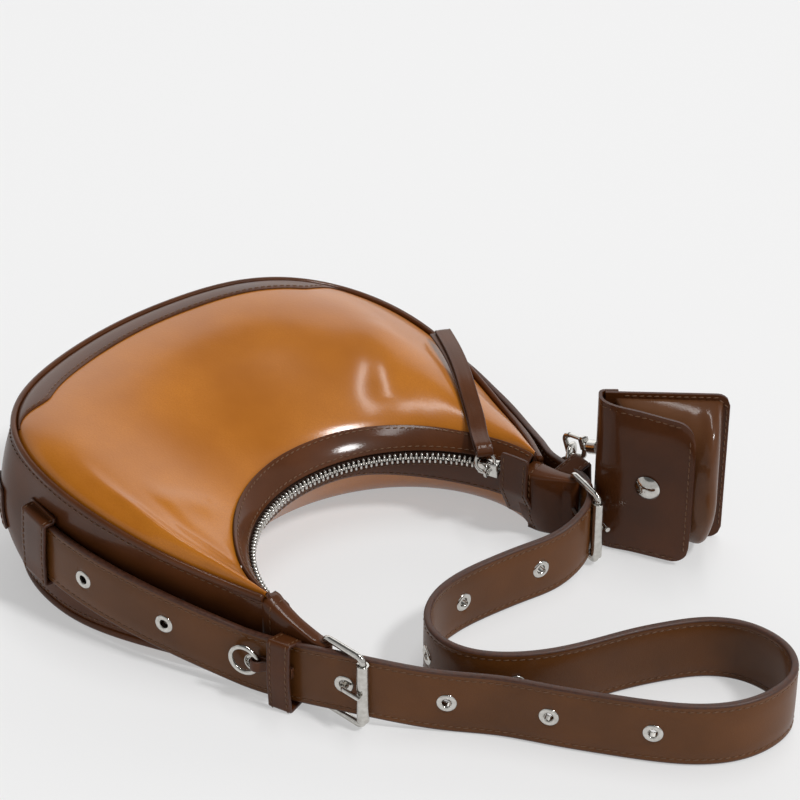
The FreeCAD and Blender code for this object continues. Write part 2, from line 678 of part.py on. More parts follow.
# Leather patches over the ends of the bottom zip
patch_turn = math.degrees(END_PATCH_LENGTH / BOTTOM_RADIUS)
for side, way in OUTWARD.items():
    patch_from = BOTTOM_ZIP_ANGLE - END_PATCH_LAP
    ends = sorted((way * patch_from, way * (patch_from + patch_turn)))
    parts["bottom_end_patch_" + side] = section_strip(spread(ends[0], ends[1], 5), lambda a: wall(
        a, BOTTOM_ZIP_HEIGHT - END_PATCH_HEIGHT / 2, BOTTOM_ZIP_HEIGHT + END_PATCH_HEIGHT / 2,
        SEAM_GAP, SEAM_GAP + BAND_LEATHER))

# Horns: each holds a roller buckle, and the strap passes outside the fixed bar and inside the roller
frame_inner = STRAP_WIDTH + 2 * STRAP_CLEARANCE
frame_half = frame_inner / 2 + BUCKLE_WIRE / 2
buckle_height = frame_half + BUCKLE_WIRE / 2 + STRAP_FLOOR_GAP
roller_outer = BUCKLE_WIRE / 2 + ROLLER_GAP + ROLLER_WALL
eye_inner = BUCKLE_WIRE / 2 + TAB_GAP
eye_outer = eye_inner + TAB_LEATHER
tab_half = eye_outer - TAB_GAP
strap_low = buckle_height - STRAP_WIDTH / 2
strap_high = buckle_height + STRAP_WIDTH / 2
loop_height = STRAP_WIDTH / 2 + STRAP_FLOOR_GAP
strap_out = eye_outer + 2 * SEAM_GAP + STRAP_THICKNESS / 2
strap_in = roller_outer + SEAM_GAP + STRAP_THICKNESS / 2


class Horn:
    """Places of one horn's hardware: its bar, its roller and the directions along and out."""

    def __init__(self, side):
        self.side = side
        way = OUTWARD[side]
        end = ARM_END[side]
        self.arm = at(end, (outline_radius(end) + MOUTH_RADIUS) / 2, 0)
        self.bar = self.arm + heading(HORN_HEADING[side]) * HORN_LENGTH[side]
        self.along = heading(BUCKLE_HEADING[side])
        self.out = V(-self.along.y * way, self.along.x * way, 0)
        self.roller = self.bar + self.along * BUCKLE_LENGTH

    def place(self, along, out, height=0.0):
        return self.bar + self.along * along + self.out * out + UP * height

    def inside_roller(self):
        """Where the strap's middle passes the roller, which it turns round on its inner side."""
        wrap = math.radians(STRAP_WRAP[self.side])
        return self.place(BUCKLE_LENGTH - strap_in * math.sin(wrap), -strap_in * math.cos(wrap), buckle_height)


horns = {side: Horn(side) for side in OUTWARD}


def tail_height(angle):
    """The strap's tail runs along the middle of the gusset, and no lower than its free loop."""
    return max(seam_height(angle) / 2, loop_height)


def tail_points(side):
    """Centre line of a strap tail, from its tip to the end of the arm."""
    out = BINDING_PROUD + SEAM_GAP + STRAP_THICKNESS / 2
    angles = spread(TAIL_END_ANGLE[side], ARM_END[side] - TAIL_REACH * OUTWARD[side], 11)
    return [edge(angle, out, tail_height(angle)) for angle in angles]


left, right = horns["left"], horns["right"]
strap_points = tail_points("left")
strap_points += [left.place(0, strap_out, buckle_height), left.inside_roller()]
strap_points += [flat(x, y, loop_height) for x, y in STRAP_LOOP]
strap_points += [right.inside_roller(), right.place(0, strap_out, buckle_height)]
strap_points += tail_points("right")[::-1]
strap_curve = Part.BSplineCurve()
strap_curve.interpolate(strap_points)
strap_edge = strap_curve.toShape()
strap_length = strap_edge.Length


def strap_frame(distance):
    """Point, direction and left-hand side of the strap at a distance from its left tip."""
    place = strap_curve.parameterAtDistance(distance, strap_curve.FirstParameter)
    run = V(strap_curve.tangent(place)[0])
    run.z = 0
    run.normalize()
    return strap_curve.value(place), run, V(-run.y, run.x, 0)


def strap_distance(point):
    return strap_curve.length(strap_curve.FirstParameter, strap_curve.parameter(point))


strap_rails = [[], [], [], []]
for distance in spread(0.0, strap_length, STRAP_STATIONS):
    point, run, side = strap_frame(min(distance, strap_length * 0.99999))
    for points, (across, level) in zip(strap_rails, ((-1, -1), (1, -1), (1, 1), (-1, 1))):
        points.append(point + side * (across * STRAP_THICKNESS / 2) + UP * (level * STRAP_WIDTH / 2))
strap = strip(strap_rails)

# Eyelets at an even spacing from the one that each prong passes through
eyelet_seat = STRAP_THICKNESS / 2 - EYELET_SEAT
eyelet_half = eyelet_seat + EYELET_RIM
eyelet_room = Part.makeCylinder(EYELET_TUBE / 2, 2 * eyelet_half, V(0, -eyelet_half, 0), V(0, 1, 0))
eyelet = eyelet_room.copy()
for way in (-1, 1):
    face = V(0, way * eyelet_seat, 0)
    eyelet = eyelet.fuse(Part.makeCylinder(EYELET_FLANGE / 2, EYELET_RIM, face, V(0, way, 0)))
    eyelet_room = eyelet_room.fuse(Part.makeCylinder(EYELET_FLANGE / 2, STRAP_THICKNESS, face, V(0, way, 0)))
eyelet = eyelet.cut(Part.makeCylinder(EYELET_HOLE / 2, 4 * eyelet_half, V(0, -2 * eyelet_half, 0), V(0, 1, 0)))
eyelet = eyelet.removeSplitter()
prong_cross = strap_out / (strap_out + strap_in) * BUCKLE_LENGTH
eyelet_solids = []
prong_eyelets = {}
for side, number in (("left", LEFT_PRONG_EYELET), ("right", RIGHT_PRONG_EYELET)):
    prong_at = strap_distance(horns[side].place(prong_cross, 0, buckle_height))
    point, run, across = strap_frame(prong_at)
    prong_eyelets[side] = (point, across if across.dot(horns[side].out) > 0 else across * -1)
    step = EYELET_SPACING if side == "left" else -EYELET_SPACING
    for index in range(EYELETS_EACH_END):
        point, run, across = strap_frame(prong_at + (index + 1 - number) * step)
        eyelet_solids.append(seat(eyelet, point, run, across))
        strap = strap.cut(seat(eyelet_room, point, run, across))
parts["shoulder_strap"] = strap
parts["strap_eyelets"] = Part.makeCompound(eyelet_solids)


def horn_tab(horn):
    """Folded leather from the end of the arm to an eye round the buckle's fixed bar."""
    run = (horn.bar - horn.arm).normalize()
    across = V(-run.y, run.x, 0)
    end = ARM_END[horn.side]
    clear = run * (3 * SEAM_GAP)
    corners = [at(end, MOUTH_RADIUS + TOOTH_DEPTH, 0) + clear, edge(end, -LEATHER, 0) + clear]
    if (corners[0] - corners[1]).dot(across) < 0:
        across = across * -1
    half = across * tab_half
    neck = horn.arm + run * HORN_FLARE
    outline = [corners[0], neck + half, horn.bar + half, horn.bar - half, neck - half, corners[1]]
    tab = prism(outline, strap_low, strap_high)
    tab = tab.fuse(Part.makeCylinder(eye_outer, STRAP_WIDTH, horn.bar + UP * strap_low, UP))
    tab = tab.cut(Part.makeCylinder(eye_inner, 2 * STRAP_WIDTH, horn.bar, UP))
    slot_width = 2 * (PRONG_EYE_HEIGHT + TAB_GAP)
    slot = Part.makeCylinder(2 * eye_outer, slot_width, horn.bar + UP * (buckle_height - slot_width / 2), UP)
    return tab.cut(slot).removeSplitter()


def buckle_frame(horn):
    """A rectangular loop of round wire."""
    low = UP * (buckle_height - frame_half)
    high = UP * (buckle_height + frame_half)
    middle = horn.bar + UP * buckle_height
    loop = [middle, horn.bar + high, horn.roller + high, horn.roller + low, horn.bar + low, middle]
    return round_bar(loop, BUCKLE_WIRE, BUCKLE_CORNER)


def buckle_roller(horn):
    length = frame_inner - 2 * (BUCKLE_CORNER - BUCKLE_WIRE / 2) - 2 * ROLLER_GAP
    start = horn.roller + UP * (buckle_height - length / 2)
    sleeve = Part.makeCylinder(roller_outer, length, start, UP)
    return sleeve.cut(Part.makeCylinder(BUCKLE_WIRE / 2 + ROLLER_GAP, length, start, UP))


def buckle_prong(horn):
    """A bent prong from the fixed bar, out through its eyelet and over the roller."""
    point, out = prong_eyelets[horn.side]
    middle = UP * buckle_height
    start = horn.bar + middle
    hole = V(point.x, point.y, buckle_height)
    depth = eyelet_half + PRONG_WIRE
    behind = hole - out * depth
    before = hole + out * depth
    tip = horn.place(BUCKLE_LENGTH + roller_outer, roller_outer + PRONG_WIRE / 2 + SEAM_GAP, buckle_height)
    first = (behind - start).normalize()
    wire = round_bar([start + first * (BUCKLE_WIRE / 2 + TAB_GAP + PRONG_WIRE / 4), behind, before, tip],
                     PRONG_WIRE, PRONG_BEND)
    ring_low = UP * (buckle_height - PRONG_EYE_HEIGHT / 2)
    ring = Part.makeCylinder(eye_inner + PRONG_WIRE / 2, PRONG_EYE_HEIGHT, horn.bar + ring_low, UP)
    hole = Part.makeCylinder(BUCKLE_WIRE / 2 + TAB_GAP / 2, PRONG_EYE_HEIGHT, horn.bar + ring_low, UP)
    return ring.fuse(wire).cut(hole).removeSplitter()


for side, horn in horns.items():
    parts["horn_tab_" + side] = horn_tab(horn)
    parts["buckle_frame_" + side] = buckle_frame(horn)
    parts["buckle_roller_" + side] = buckle_roller(horn)
    parts["buckle_prong_" + side] = buckle_prong(horn)

# Keepers: one round each horn, and one sewn to the gusset at the end of each tail
ring_tab_depth = 2 * RING_TAB_LEATHER + 2 * SEAM_GAP


def eyed_tab(length, height, leather, bore):
    """A doubled strip along -X with an eye about Z, its +Y side clear of the strip."""
    flat_side = -bore - leather
    tab = Part.makeBox(length, 2 * leather, height, V(-length, flat_side, -height / 2))
    tab = tab.fuse(Part.makeCylinder(bore + leather, height, V(0, 0, -height / 2), UP))
    tab = tab.cut(Part.makeCylinder(bore, height, V(0, 0, -height / 2), UP))
    return tab.removeSplitter()


def keeper_loop(across, height, width, wall_thickness):
    """A rectangular leather loop in its own frame, X along the strap and Y across."""
    outer = box(width, across + 2 * wall_thickness, height + 2 * wall_thickness)
    return outer.cut(box(2 * width, across, height))


ring_axes = {}
for side, horn in horns.items():
    run = (horn.arm - horn.bar).normalize()
    tab_point = horn.bar + run * HORN_KEEPER_SETBACK[side]
    tab_strap = strap_curve.value(strap_curve.parameter(V(tab_point.x, tab_point.y, buckle_height)))
    point, along, across = strap_frame(strap_distance(tab_strap))
    if across.dot(horn.out) < 0:
        across = across * -1
    if along.dot(run) < 0:
        along = along * -1
    tab_depths = [(tab_point + run * (way * HORN_KEEPER_WIDTH / 2) - point).dot(across) for way in (-1, 1)]
    inner_face = min(tab_depths) - tab_half - KEEPER_CLEARANCE
    outer_face = eyelet_half + ring_tab_depth + KEEPER_CLEARANCE
    depth = outer_face - inner_face
    height = STRAP_WIDTH + abs(point.z - buckle_height) + 2 * HORN_KEEPER_PLAY
    centre = point + across * ((outer_face + inner_face) / 2)
    loop = keeper_loop(depth, height, HORN_KEEPER_WIDTH, KEEPER_LEATHER)
    parts["horn_keeper_" + side] = seat(loop, V(centre.x, centre.y, (point.z + buckle_height) / 2), along, across)

    # Ring tab: a narrow doubled strip held under the keeper, with an eye round the ring
    reach = HORN_KEEPER_WIDTH / 2 + RING_TAB_REACH
    axis_out = eyelet_half + SEAM_GAP + RING_EYE + RING_TAB_LEATHER
    axis = V(point.x, point.y, RING_HEIGHT[side]) + along * reach + across * axis_out
    tab = eyed_tab(reach + HORN_KEEPER_WIDTH / 2 - SEAM_GAP, RING_TAB_HEIGHT, RING_TAB_LEATHER, RING_EYE)
    parts["ring_tab_" + side] = seat(tab, axis, along, across)

    # Ring through the tab's eye, swung out from the strap
    swing = math.radians(RING_SWING[side])
    away = along * math.cos(swing) + across * math.sin(swing)
    centre = axis + away * RING_RADIUS
    parts["ring_" + side] = Part.makeTorus(RING_RADIUS, RING_WIRE / 2, centre, away.cross(UP))
    ring_axes[side] = (axis, centre, away)

for side, horn in horns.items():
    angle = TAIL_KEEPER_ANGLE[side]
    out = edge_normal(angle)
    along = edge(angle + 1, 0, tail_height(angle + 1)) - edge(angle - 1, 0, tail_height(angle - 1))
    middle = tail_height(angle)
    half = STRAP_WIDTH / 2 + KEEPER_CLEARANCE
    rise = BINDING_PROUD + SEAM_GAP + STRAP_THICKNESS + 2 * KEEPER_CLEARANCE
    profile = [(SEAM_GAP, -half - KEEPER_FOOT), (SEAM_GAP, -half), (rise, -half), (rise, half), (SEAM_GAP, half),
               (SEAM_GAP, half + KEEPER_FOOT)]
    outer = [(SEAM_GAP + KEEPER_LEATHER, half + KEEPER_FOOT),
             (SEAM_GAP + KEEPER_LEATHER, half + KEEPER_LEATHER), (rise + KEEPER_LEATHER, half + KEEPER_LEATHER),
             (rise + KEEPER_LEATHER, -half - KEEPER_LEATHER), (SEAM_GAP + KEEPER_LEATHER, -half - KEEPER_LEATHER),
             (SEAM_GAP + KEEPER_LEATHER, -half - KEEPER_FOOT)]
    corners = [V(-KEEPER_WIDTH / 2, depth, level) for depth, level in profile + outer]
    staple = Part.Face(Part.makePolygon(corners + corners[:1])).extrude(V(KEEPER_WIDTH, 0, 0))
    parts["tail_keeper_" + side] = seat(staple, edge(angle, 0, middle), along, out)

# Snap pouch, in its own frame: X from the top fold to its bottom, +Y out of its front, Z up
pouch_turn = FreeCAD.Rotation(UP, POUCH_HEADING)
pouch_seat = FreeCAD.Placement(flat(POUCH_CORNER[0], POUCH_CORNER[1], POUCH_FLOOR_GAP), pouch_turn)


def pouch_place(shape):
    """Carries a pouch piece to its place; its front faces away from +Y after the turn."""
    placed = shape.mirror(V(0, 0, 0), V(0, 1, 0))
    placed.Placement = pouch_seat.multiply(placed.Placement)
    return placed


def rounded(shape, radius, chosen):
    edges = [line for line in shape.Edges if chosen(line)]
    return shape.makeFillet(radius, edges)


back = Part.makeBox(POUCH_LENGTH, LEATHER, POUCH_WIDTH, V(0, -LEATHER, 0))
back = rounded(back, POUCH_ROUND, lambda line: abs(line.tangentAt(line.FirstParameter).y) > 0.99
               and line.CenterOfMass.x > POUCH_LENGTH / 2)
parts["pouch_back"] = pouch_place(back)

body_low = POUCH_MARGIN
body_high = POUCH_WIDTH - POUCH_MARGIN
body_end = POUCH_LENGTH - POUCH_MARGIN
front_end = POUCH_LENGTH - POUCH_ROUND
body_outline = [V(POUCH_MOUTH / 2, SEAM_GAP, 0), V(POUCH_MOUTH, POUCH_TOP_DEPTH, 0), V(front_end, POUCH_DEPTH, 0),
                V(body_end, POUCH_DEPTH - POUCH_ROUND, 0), V(body_end, SEAM_GAP, 0)]
slope = (body_outline[2] - body_outline[1]).normalize()
front_normal = V(-slope.y, slope.x, 0)
outer_body = prism(body_outline, body_low, body_high)
inner_outline = [V(-POUCH_MOUTH, -POUCH_WALL, 0), V(-POUCH_MOUTH, POUCH_TOP_DEPTH, 0) - slope * POUCH_MOUTH * 2,
                 body_outline[1] - front_normal * POUCH_WALL, body_outline[2] - front_normal * POUCH_WALL,
                 body_outline[3] - V(POUCH_WALL, POUCH_WALL / 2, 0), V(body_end - POUCH_WALL, -POUCH_WALL, 0)]
hollow = prism(inner_outline, body_low + POUCH_WALL, body_high - POUCH_WALL)

# Flap: hinged at the top fold, round the top and down the sloping front
flap_start = body_outline[1] + front_normal * FLAP_GAP - slope * FLAP_RISE
flap_end = flap_start + slope * FLAP_LENGTH
hinge_x = -LEATHER - SEAM_GAP
flap_inner = [V(hinge_x + LEATHER, -LEATHER, 0), V(hinge_x + LEATHER, flap_start.y * FLAP_FOLD, 0), flap_start, flap_end]
flap_outer = [flap_end + front_normal * LEATHER, flap_start + front_normal * LEATHER,
              V(hinge_x, flap_start.y * FLAP_FOLD, 0), V(hinge_x, -LEATHER, 0)]
flap = prism(flap_inner + flap_outer, POUCH_MARGIN / 2, POUCH_WIDTH - POUCH_MARGIN / 2)
corner_cut = Part.makeBox(FLAP_CORNER, 6 * LEATHER, FLAP_CORNER, V(-FLAP_CORNER, -3 * LEATHER, 0))
corner_cut = corner_cut.cut(
    Part.makeCylinder(FLAP_CORNER, 6 * LEATHER, V(-FLAP_CORNER, -3 * LEATHER, FLAP_CORNER), V(0, 1, 0)))
flap_corner = V(flap_end.x, flap_end.y, POUCH_MARGIN / 2)
lower_cut = seat(corner_cut, flap_corner, slope, front_normal)
upper_cut = lower_cut.mirror(V(0, 0, POUCH_WIDTH / 2), UP)
snap_foot = flap_start + slope * (SNAP_PLACE - FLAP_GAP) + UP * (POUCH_WIDTH / 2)
post_hole = Part.makeCylinder(SNAP_POST / 2 + SEAM_GAP, 4 * LEATHER, snap_foot - front_normal * LEATHER, front_normal)
flap = flap.cut(lower_cut).cut(upper_cut).cut(post_hole)
parts["pouch_flap"] = pouch_place(flap)

# Press stud: a domed cap on the flap whose post takes the stud on the body
cap_base = LEATHER + SEAM_GAP / 2
cap_post = Part.makeCylinder(SNAP_POST / 2, cap_base + FLAP_GAP / 2, V(0, -FLAP_GAP / 2, 0), V(0, 1, 0))
cap_rim = V(SNAP_DIAMETER / 2, cap_base, 0)
cap_top = V(0, cap_base + SNAP_DOME, 0)
dome_radius = (cap_rim.x ** 2 + SNAP_DOME ** 2) / (2 * SNAP_DOME)
dome_half = math.asin(cap_rim.x / dome_radius) / 2
cap_side = V(dome_radius * math.sin(dome_half), cap_top.y - dome_radius * (1 - math.cos(dome_half)), 0)
cap_edges = [Part.makeLine(V(0, cap_base, 0), cap_rim), Part.Arc(cap_rim, cap_side, cap_top).toShape(),
             Part.makeLine(cap_top, V(0, cap_base, 0))]
cap = Part.Face(Part.Wire(cap_edges)).revolve(V(0, 0, 0), V(0, 1, 0), 360)
parts["snap_cap"] = pouch_place(seat(cap.fuse(cap_post).removeSplitter(), snap_foot, slope, front_normal))
stud_depth = POUCH_WALL + SEAM_GAP
stud_top = snap_foot - front_normal * FLAP_GAP
stud = Part.makeCylinder(SNAP_POST / 2, stud_depth, stud_top, front_normal * -1)
stud = stud.fuse(Part.makeCylinder(
    SNAP_DIAMETER / 2 - SEAM_GAP, POUCH_WALL / 2, stud_top - front_normal * stud_depth, front_normal * -1))
stud_hole = Part.makeCylinder(SNAP_POST / 2, 4 * POUCH_WALL, stud_top + front_normal * POUCH_WALL, front_normal * -1)
parts["snap_stud"] = pouch_place(stud.removeSplitter())
parts["pouch_body"] = pouch_place(outer_body.cut(hollow).cut(stud_hole))

# Tab on the back of the pouch, whose eye takes the hook's end bar
tab_bore = EYE_WIRE / 2 + TAB_GAP
tab_face = -LEATHER - SEAM_GAP
eye_local = V(POUCH_TAB_PLACE, tab_face - tab_bore - POUCH_TAB_LEATHER, POUCH_WIDTH / 2 + POUCH_TAB_RAISE)
pouch_tab = eyed_tab(POUCH_TAB_LENGTH, POUCH_TAB_HEIGHT, POUCH_TAB_LEATHER, tab_bore)
parts["pouch_tab"] = pouch_place(seat(pouch_tab, eye_local, V(-1, 0, 0), V(0, -1, 0)))
eye_bar = pouch_seat.multVec(V(eye_local.x, -eye_local.y, eye_local.z))

# Swivel hook from the top of the right ring to that bar
ring_axis, ring_centre, ring_away = ring_axes["right"]
catch = ring_centre + UP * RING_RADIUS
hook_run = (eye_bar - catch).normalize()
hook_flank = hook_run.cross(UP).normalize()
hook_lift = hook_flank.cross(hook_run)
hook_length = (eye_bar - catch).Length


def hook_point(along, lift, flank=0.0):
    return catch + hook_run * along + hook_lift * lift + hook_flank * flank


hook_slack = HOOK_LOOP - HOOK_WIRE / 2 - RING_WIRE / 2 - HOOK_PLAY
loop_near = hook_slack - HOOK_LOOP
loop_far = hook_slack + HOOK_LOOP
neck = loop_far + HOOK_WIRE
barrel_start = hook_length - EYE_LENGTH - SWIVEL_LENGTH
barrel_end = barrel_start + SWIVEL_LENGTH
hook_tip = hook_slack - HOOK_WIRE / 2
spine = round_bar(
    [hook_point(barrel_start + SWIVEL_LENGTH / 2, 0), hook_point(neck, 0), hook_point(loop_far, -HOOK_LOOP),
     hook_point(loop_near, -HOOK_LOOP), hook_point(loop_near, HOOK_LOOP), hook_point(hook_tip, HOOK_LOOP)],
    HOOK_WIRE, HOOK_BEND)
head_gap = SWIVEL_LENGTH / 2 - HOOK_HEAD / 2
head = rod(hook_point(barrel_start + head_gap, 0), hook_point(barrel_start + head_gap + HOOK_HEAD, 0),
           HOOK_WIRE + HOOK_HEAD)
pivot = hook_point(neck, HOOK_WIRE / 2 + HOOK_GATE_WIRE)
cheek_out = HOOK_GATE_WIRE / 2 + ROLLER_GAP
pin_half = cheek_out + HOOK_CHEEK
gate_pin = rod(pivot - hook_flank * pin_half, pivot + hook_flank * pin_half, HOOK_PIN)
hook = spine.fuse(head).fuse(gate_pin)
for way in (-1, 1):
    low = hook_point(neck, 0, way * (cheek_out + HOOK_CHEEK / 2))
    high = pivot + hook_flank * (way * (cheek_out + HOOK_CHEEK / 2))
    middle = (low + high) * 0.5
    cheek = box((high - low).Length + HOOK_PIN + 2 * CHEEK_MARGIN, 2 * HOOK_PIN, HOOK_CHEEK)
    hook = hook.fuse(seat(cheek, middle, hook_lift, hook_run))
parts["hook_body"] = hook.removeSplitter()
gate_tip = hook_point(hook_tip + SEAM_GAP, HOOK_LOOP)
gate = rod(pivot, gate_tip, HOOK_GATE_WIRE)
knuckle = hook_flank * (HOOK_GATE_WIRE / 2 + ROLLER_GAP / 2)
gate = gate.fuse(rod(pivot - knuckle, pivot + knuckle, HOOK_PIN + HOOK_GATE_WIRE))
parts["hook_gate"] = gate.cut(rod(pivot - hook_flank * HOOK_WIRE, pivot + hook_flank * HOOK_WIRE,
                                  HOOK_PIN + 2 * ROLLER_GAP)).removeSplitter()
barrel = rod(hook_point(barrel_start, 0), hook_point(barrel_end, 0), 2 * SWIVEL_RADIUS)
barrel = barrel.cut(rod(hook_point(barrel_start, 0), hook_point(barrel_start + SWIVEL_LENGTH / 2, 0),
                        HOOK_WIRE + 2 * ROLLER_GAP))
room = HOOK_HEAD / 2 + ROLLER_GAP
barrel = barrel.cut(rod(hook_point(barrel_start + SWIVEL_LENGTH / 2 - room, 0),
                        hook_point(barrel_start + SWIVEL_LENGTH / 2 + room, 0),
                        HOOK_WIRE + HOOK_HEAD + 2 * ROLLER_GAP))
eye_half = UP * (EYE_WIDTH / 2)
leg_half = UP * (EYE_LEGS / 2)
root = hook_point(barrel_end - EYE_WIRE / 2, 0)
end_loop = round_bar(
    [root + leg_half, eye_bar + eye_half, eye_bar - eye_half, root - leg_half], EYE_WIRE, EYE_BEND)
parts["hook_swivel"] = barrel.fuse(end_loop).removeSplitter()

for name, shape in parts.items():
    if not shape.isValid():
        print("not valid:", name)

os.makedirs("parts", exist_ok=True)
for name, shape in parts.items():
    shape.exportStep("parts/" + name + ".step")
print(len(parts), "nodes, strap", round(strap_length, 1), "mm long")
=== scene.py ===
from math import cos, degrees, exp, pi, radians, sin, sqrt, tau

import bmesh
import bpy
import numpy
from mathutils import Matrix, Vector, noise


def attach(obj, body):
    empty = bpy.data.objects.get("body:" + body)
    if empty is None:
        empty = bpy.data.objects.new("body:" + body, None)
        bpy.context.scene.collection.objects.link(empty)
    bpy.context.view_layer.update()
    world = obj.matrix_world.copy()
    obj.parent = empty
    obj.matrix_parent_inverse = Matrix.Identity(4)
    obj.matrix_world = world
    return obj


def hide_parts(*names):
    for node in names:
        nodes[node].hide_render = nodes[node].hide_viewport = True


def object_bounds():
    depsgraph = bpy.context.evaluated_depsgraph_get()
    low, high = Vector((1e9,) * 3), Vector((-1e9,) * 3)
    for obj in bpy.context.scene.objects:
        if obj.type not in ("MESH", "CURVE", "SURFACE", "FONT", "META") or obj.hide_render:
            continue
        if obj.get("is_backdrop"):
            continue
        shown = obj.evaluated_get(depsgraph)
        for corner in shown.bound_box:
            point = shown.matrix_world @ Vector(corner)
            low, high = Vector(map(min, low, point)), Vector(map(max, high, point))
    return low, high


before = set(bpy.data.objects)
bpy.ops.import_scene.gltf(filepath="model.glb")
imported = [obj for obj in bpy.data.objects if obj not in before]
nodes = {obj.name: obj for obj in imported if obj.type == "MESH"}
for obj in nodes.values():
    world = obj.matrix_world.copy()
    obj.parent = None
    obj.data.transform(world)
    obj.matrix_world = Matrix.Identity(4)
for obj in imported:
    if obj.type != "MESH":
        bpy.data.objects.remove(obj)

cadLow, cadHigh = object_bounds()
up = Vector((0, 0, 1))
milli = 0.001        # shapes are worked out in millimetres, and addPiece turns them into metres
print("frame loaded:", len(nodes), "nodes")


# Materials

def linear(hexColour):
    parts = [int(hexColour[i:i + 2], 16) / 255 for i in (1, 3, 5)]
    return tuple(p / 12.92 if p <= 0.04045 else ((p + 0.055) / 1.055) ** 2.4 for p in parts) + (1.0,)


# A node with its inputs, as values or links, and its settings; gives the output that is asked for
def addNode(tree, kind, inputs=None, out=0, **settings):
    node = tree.nodes.new("ShaderNode" + kind)
    for key, value in settings.items():
        setattr(node, key, value)
    for key, value in (inputs or {}).items():
        if isinstance(value, bpy.types.NodeSocket):
            tree.links.new(value, node.inputs[key])
        else:
            node.inputs[key].default_value = value
    return node.outputs[out] if node.outputs else None


def newMaterial(name):
    material = bpy.data.materials.new(name)
    material.use_nodes = True
    tree = material.node_tree
    tree.nodes.clear()
    return material, tree, addNode(tree, "TexCoord", out="Object")


noiseRange = {"From Min": 0.3, "From Max": 0.7}        # where most of a noise lies


# Finished leather: cloudy dye and pores under a glossy top coat that the grain breaks up a little
def leather(name, look):
    material, tree, place = newMaterial(name)
    cloud, grain = look["cloud"] * milli, look["grain"] * milli
    clouds = addNode(tree, "TexNoise", {"Vector": place, "Scale": 1 / cloud, "Detail": 3.0}, "Fac")
    pores = addNode(tree, "TexVoronoi", {"Vector": place, "Scale": 1 / grain, "Smoothness": 0.6}, "Distance",
                    feature="SMOOTH_F1")
    specks = addNode(tree, "TexNoise", {"Vector": place, "Scale": 2 / grain, "Detail": 2.0}, "Fac")
    dye, wear, rough = [addNode(tree, "MapRange", {"Value": value, "To Min": low, "To Max": high, **noiseRange})
                        for value, low, high in ((clouds, 0.0, 1.0), (specks, 0.0, look["specks"]),
                                                 (clouds, look["rough"] - 0.05, look["rough"] + 0.05))]
    deep = linear(look["deep"])
    shade = addNode(tree, "Mix", {0: dye, 6: deep, 7: linear(look["light"])}, 2, data_type="RGBA")
    colour = addNode(tree, "Mix", {0: wear, 6: shade, 7: deep}, 2, data_type="RGBA")
    height = addNode(tree, "Math", {0: pores, 1: specks}, operation="ADD")
    bumps = [addNode(tree, "Bump", {"Height": height, "Strength": look["bump"] * part, "Distance": 0.12 * milli})
             for part in (1.0, 0.3)]
    shader = addNode(tree, "BsdfPrincipled", {
        "Base Color": colour, "Roughness": rough, "IOR": 1.5, "Specular IOR Level": look["shine"],
        "Coat Weight": look["coat"], "Coat Roughness": look["coatRough"], "Coat IOR": 1.5,
        "Normal": bumps[0], "Coat Normal": bumps[1]})
    addNode(tree, "OutputMaterial", {0: shader})
    return material


# An even finish whose tone and gloss still vary a little, over marks of a given size
def evenFinish(name, look, metallic=0.0):
    material, tree, place = newMaterial(name)
    marks = addNode(tree, "TexNoise", {"Vector": place, "Scale": 1 / (look["mark"] * milli), "Detail": 3.0}, "Fac")
    tint, rough = [addNode(tree, "MapRange", {"Value": marks, "To Min": low, "To Max": high, **noiseRange})
                   for low, high in ((0.0, 1.0), (look["rough"] - look["vary"], look["rough"] + look["vary"]))]
    tone = addNode(tree, "Mix", {0: tint, 6: linear(look["deep"]), 7: linear(look["light"])}, 2, data_type="RGBA")
    dents = addNode(tree, "Bump", {"Height": marks, "Strength": look["bump"], "Distance": 0.05 * milli})
    shader = addNode(tree, "BsdfPrincipled",
                     {"Base Color": tone, "Roughness": rough, "Metallic": metallic, "Normal": dents})
    addNode(tree, "OutputMaterial", {0: shader})
    return material


# Woven cloth: crossing threads that catch the light
def cloth(name, colour, dark, thread):
    material, tree, place = newMaterial(name)
    weave = 1.0
    for axis in ("X", "Y", "Z"):
        wave = addNode(tree, "TexWave", {"Vector": place, "Scale": 0.31 / (thread * milli), "Distortion": 0.4}, "Fac",
                       bands_direction=axis)
        weave = addNode(tree, "Math", {0: weave, 1: wave}, operation="MULTIPLY")
    tint = addNode(tree, "Mix", {0: weave, 6: linear(dark), 7: linear(colour)}, 2, data_type="RGBA")
    bump = addNode(tree, "Bump", {"Height": weave, "Strength": 0.6, "Distance": 0.1 * milli})
    shader = addNode(tree, "BsdfPrincipled",
                     {"Base Color": tint, "Roughness": 0.85, "Specular IOR Level": 0.15, "Normal": bump})
    addNode(tree, "OutputMaterial", {0: shader})
    return material


# Sizes in millimetres; real pores are finer, and these are drawn as coarse as they need to show
tanLook = {"deep": "#A05D12", "light": "#BA721E", "cloud": 45.0, "grain": 1.1, "specks": 0.6, "bump": 0.3,
           "rough": 0.45, "shine": 0.1, "coat": 0.6, "coatRough": 0.18}
darkLook = {"deep": "#45240E", "light": "#593117", "cloud": 30.0, "grain": 0.8, "specks": 0.3, "bump": 0.25,
            "rough": 0.42, "shine": 0.08, "coat": 0.32, "coatRough": 0.1}
strapLook = {"deep": "#543010", "light": "#653C1A", "cloud": 30.0, "grain": 0.7, "specks": 0.35, "bump": 0.25,
             "rough": 0.42, "shine": 0.15, "coat": 0.22, "coatRough": 0.15}
tanLeather = leather("waxed tan leather", tanLook)
darkLeather = leather("glazed dark leather", darkLook)
# The pouch's pocket takes the glazed dark leather with its colour painted lighter, a painted sheen and light on the
# pocket
pouchSheenLeather = leather("dark leather with painted sheen", dict(darkLook, deep="#52301A", light="#664228"))
strapLeather = leather("smooth strap leather", strapLook)
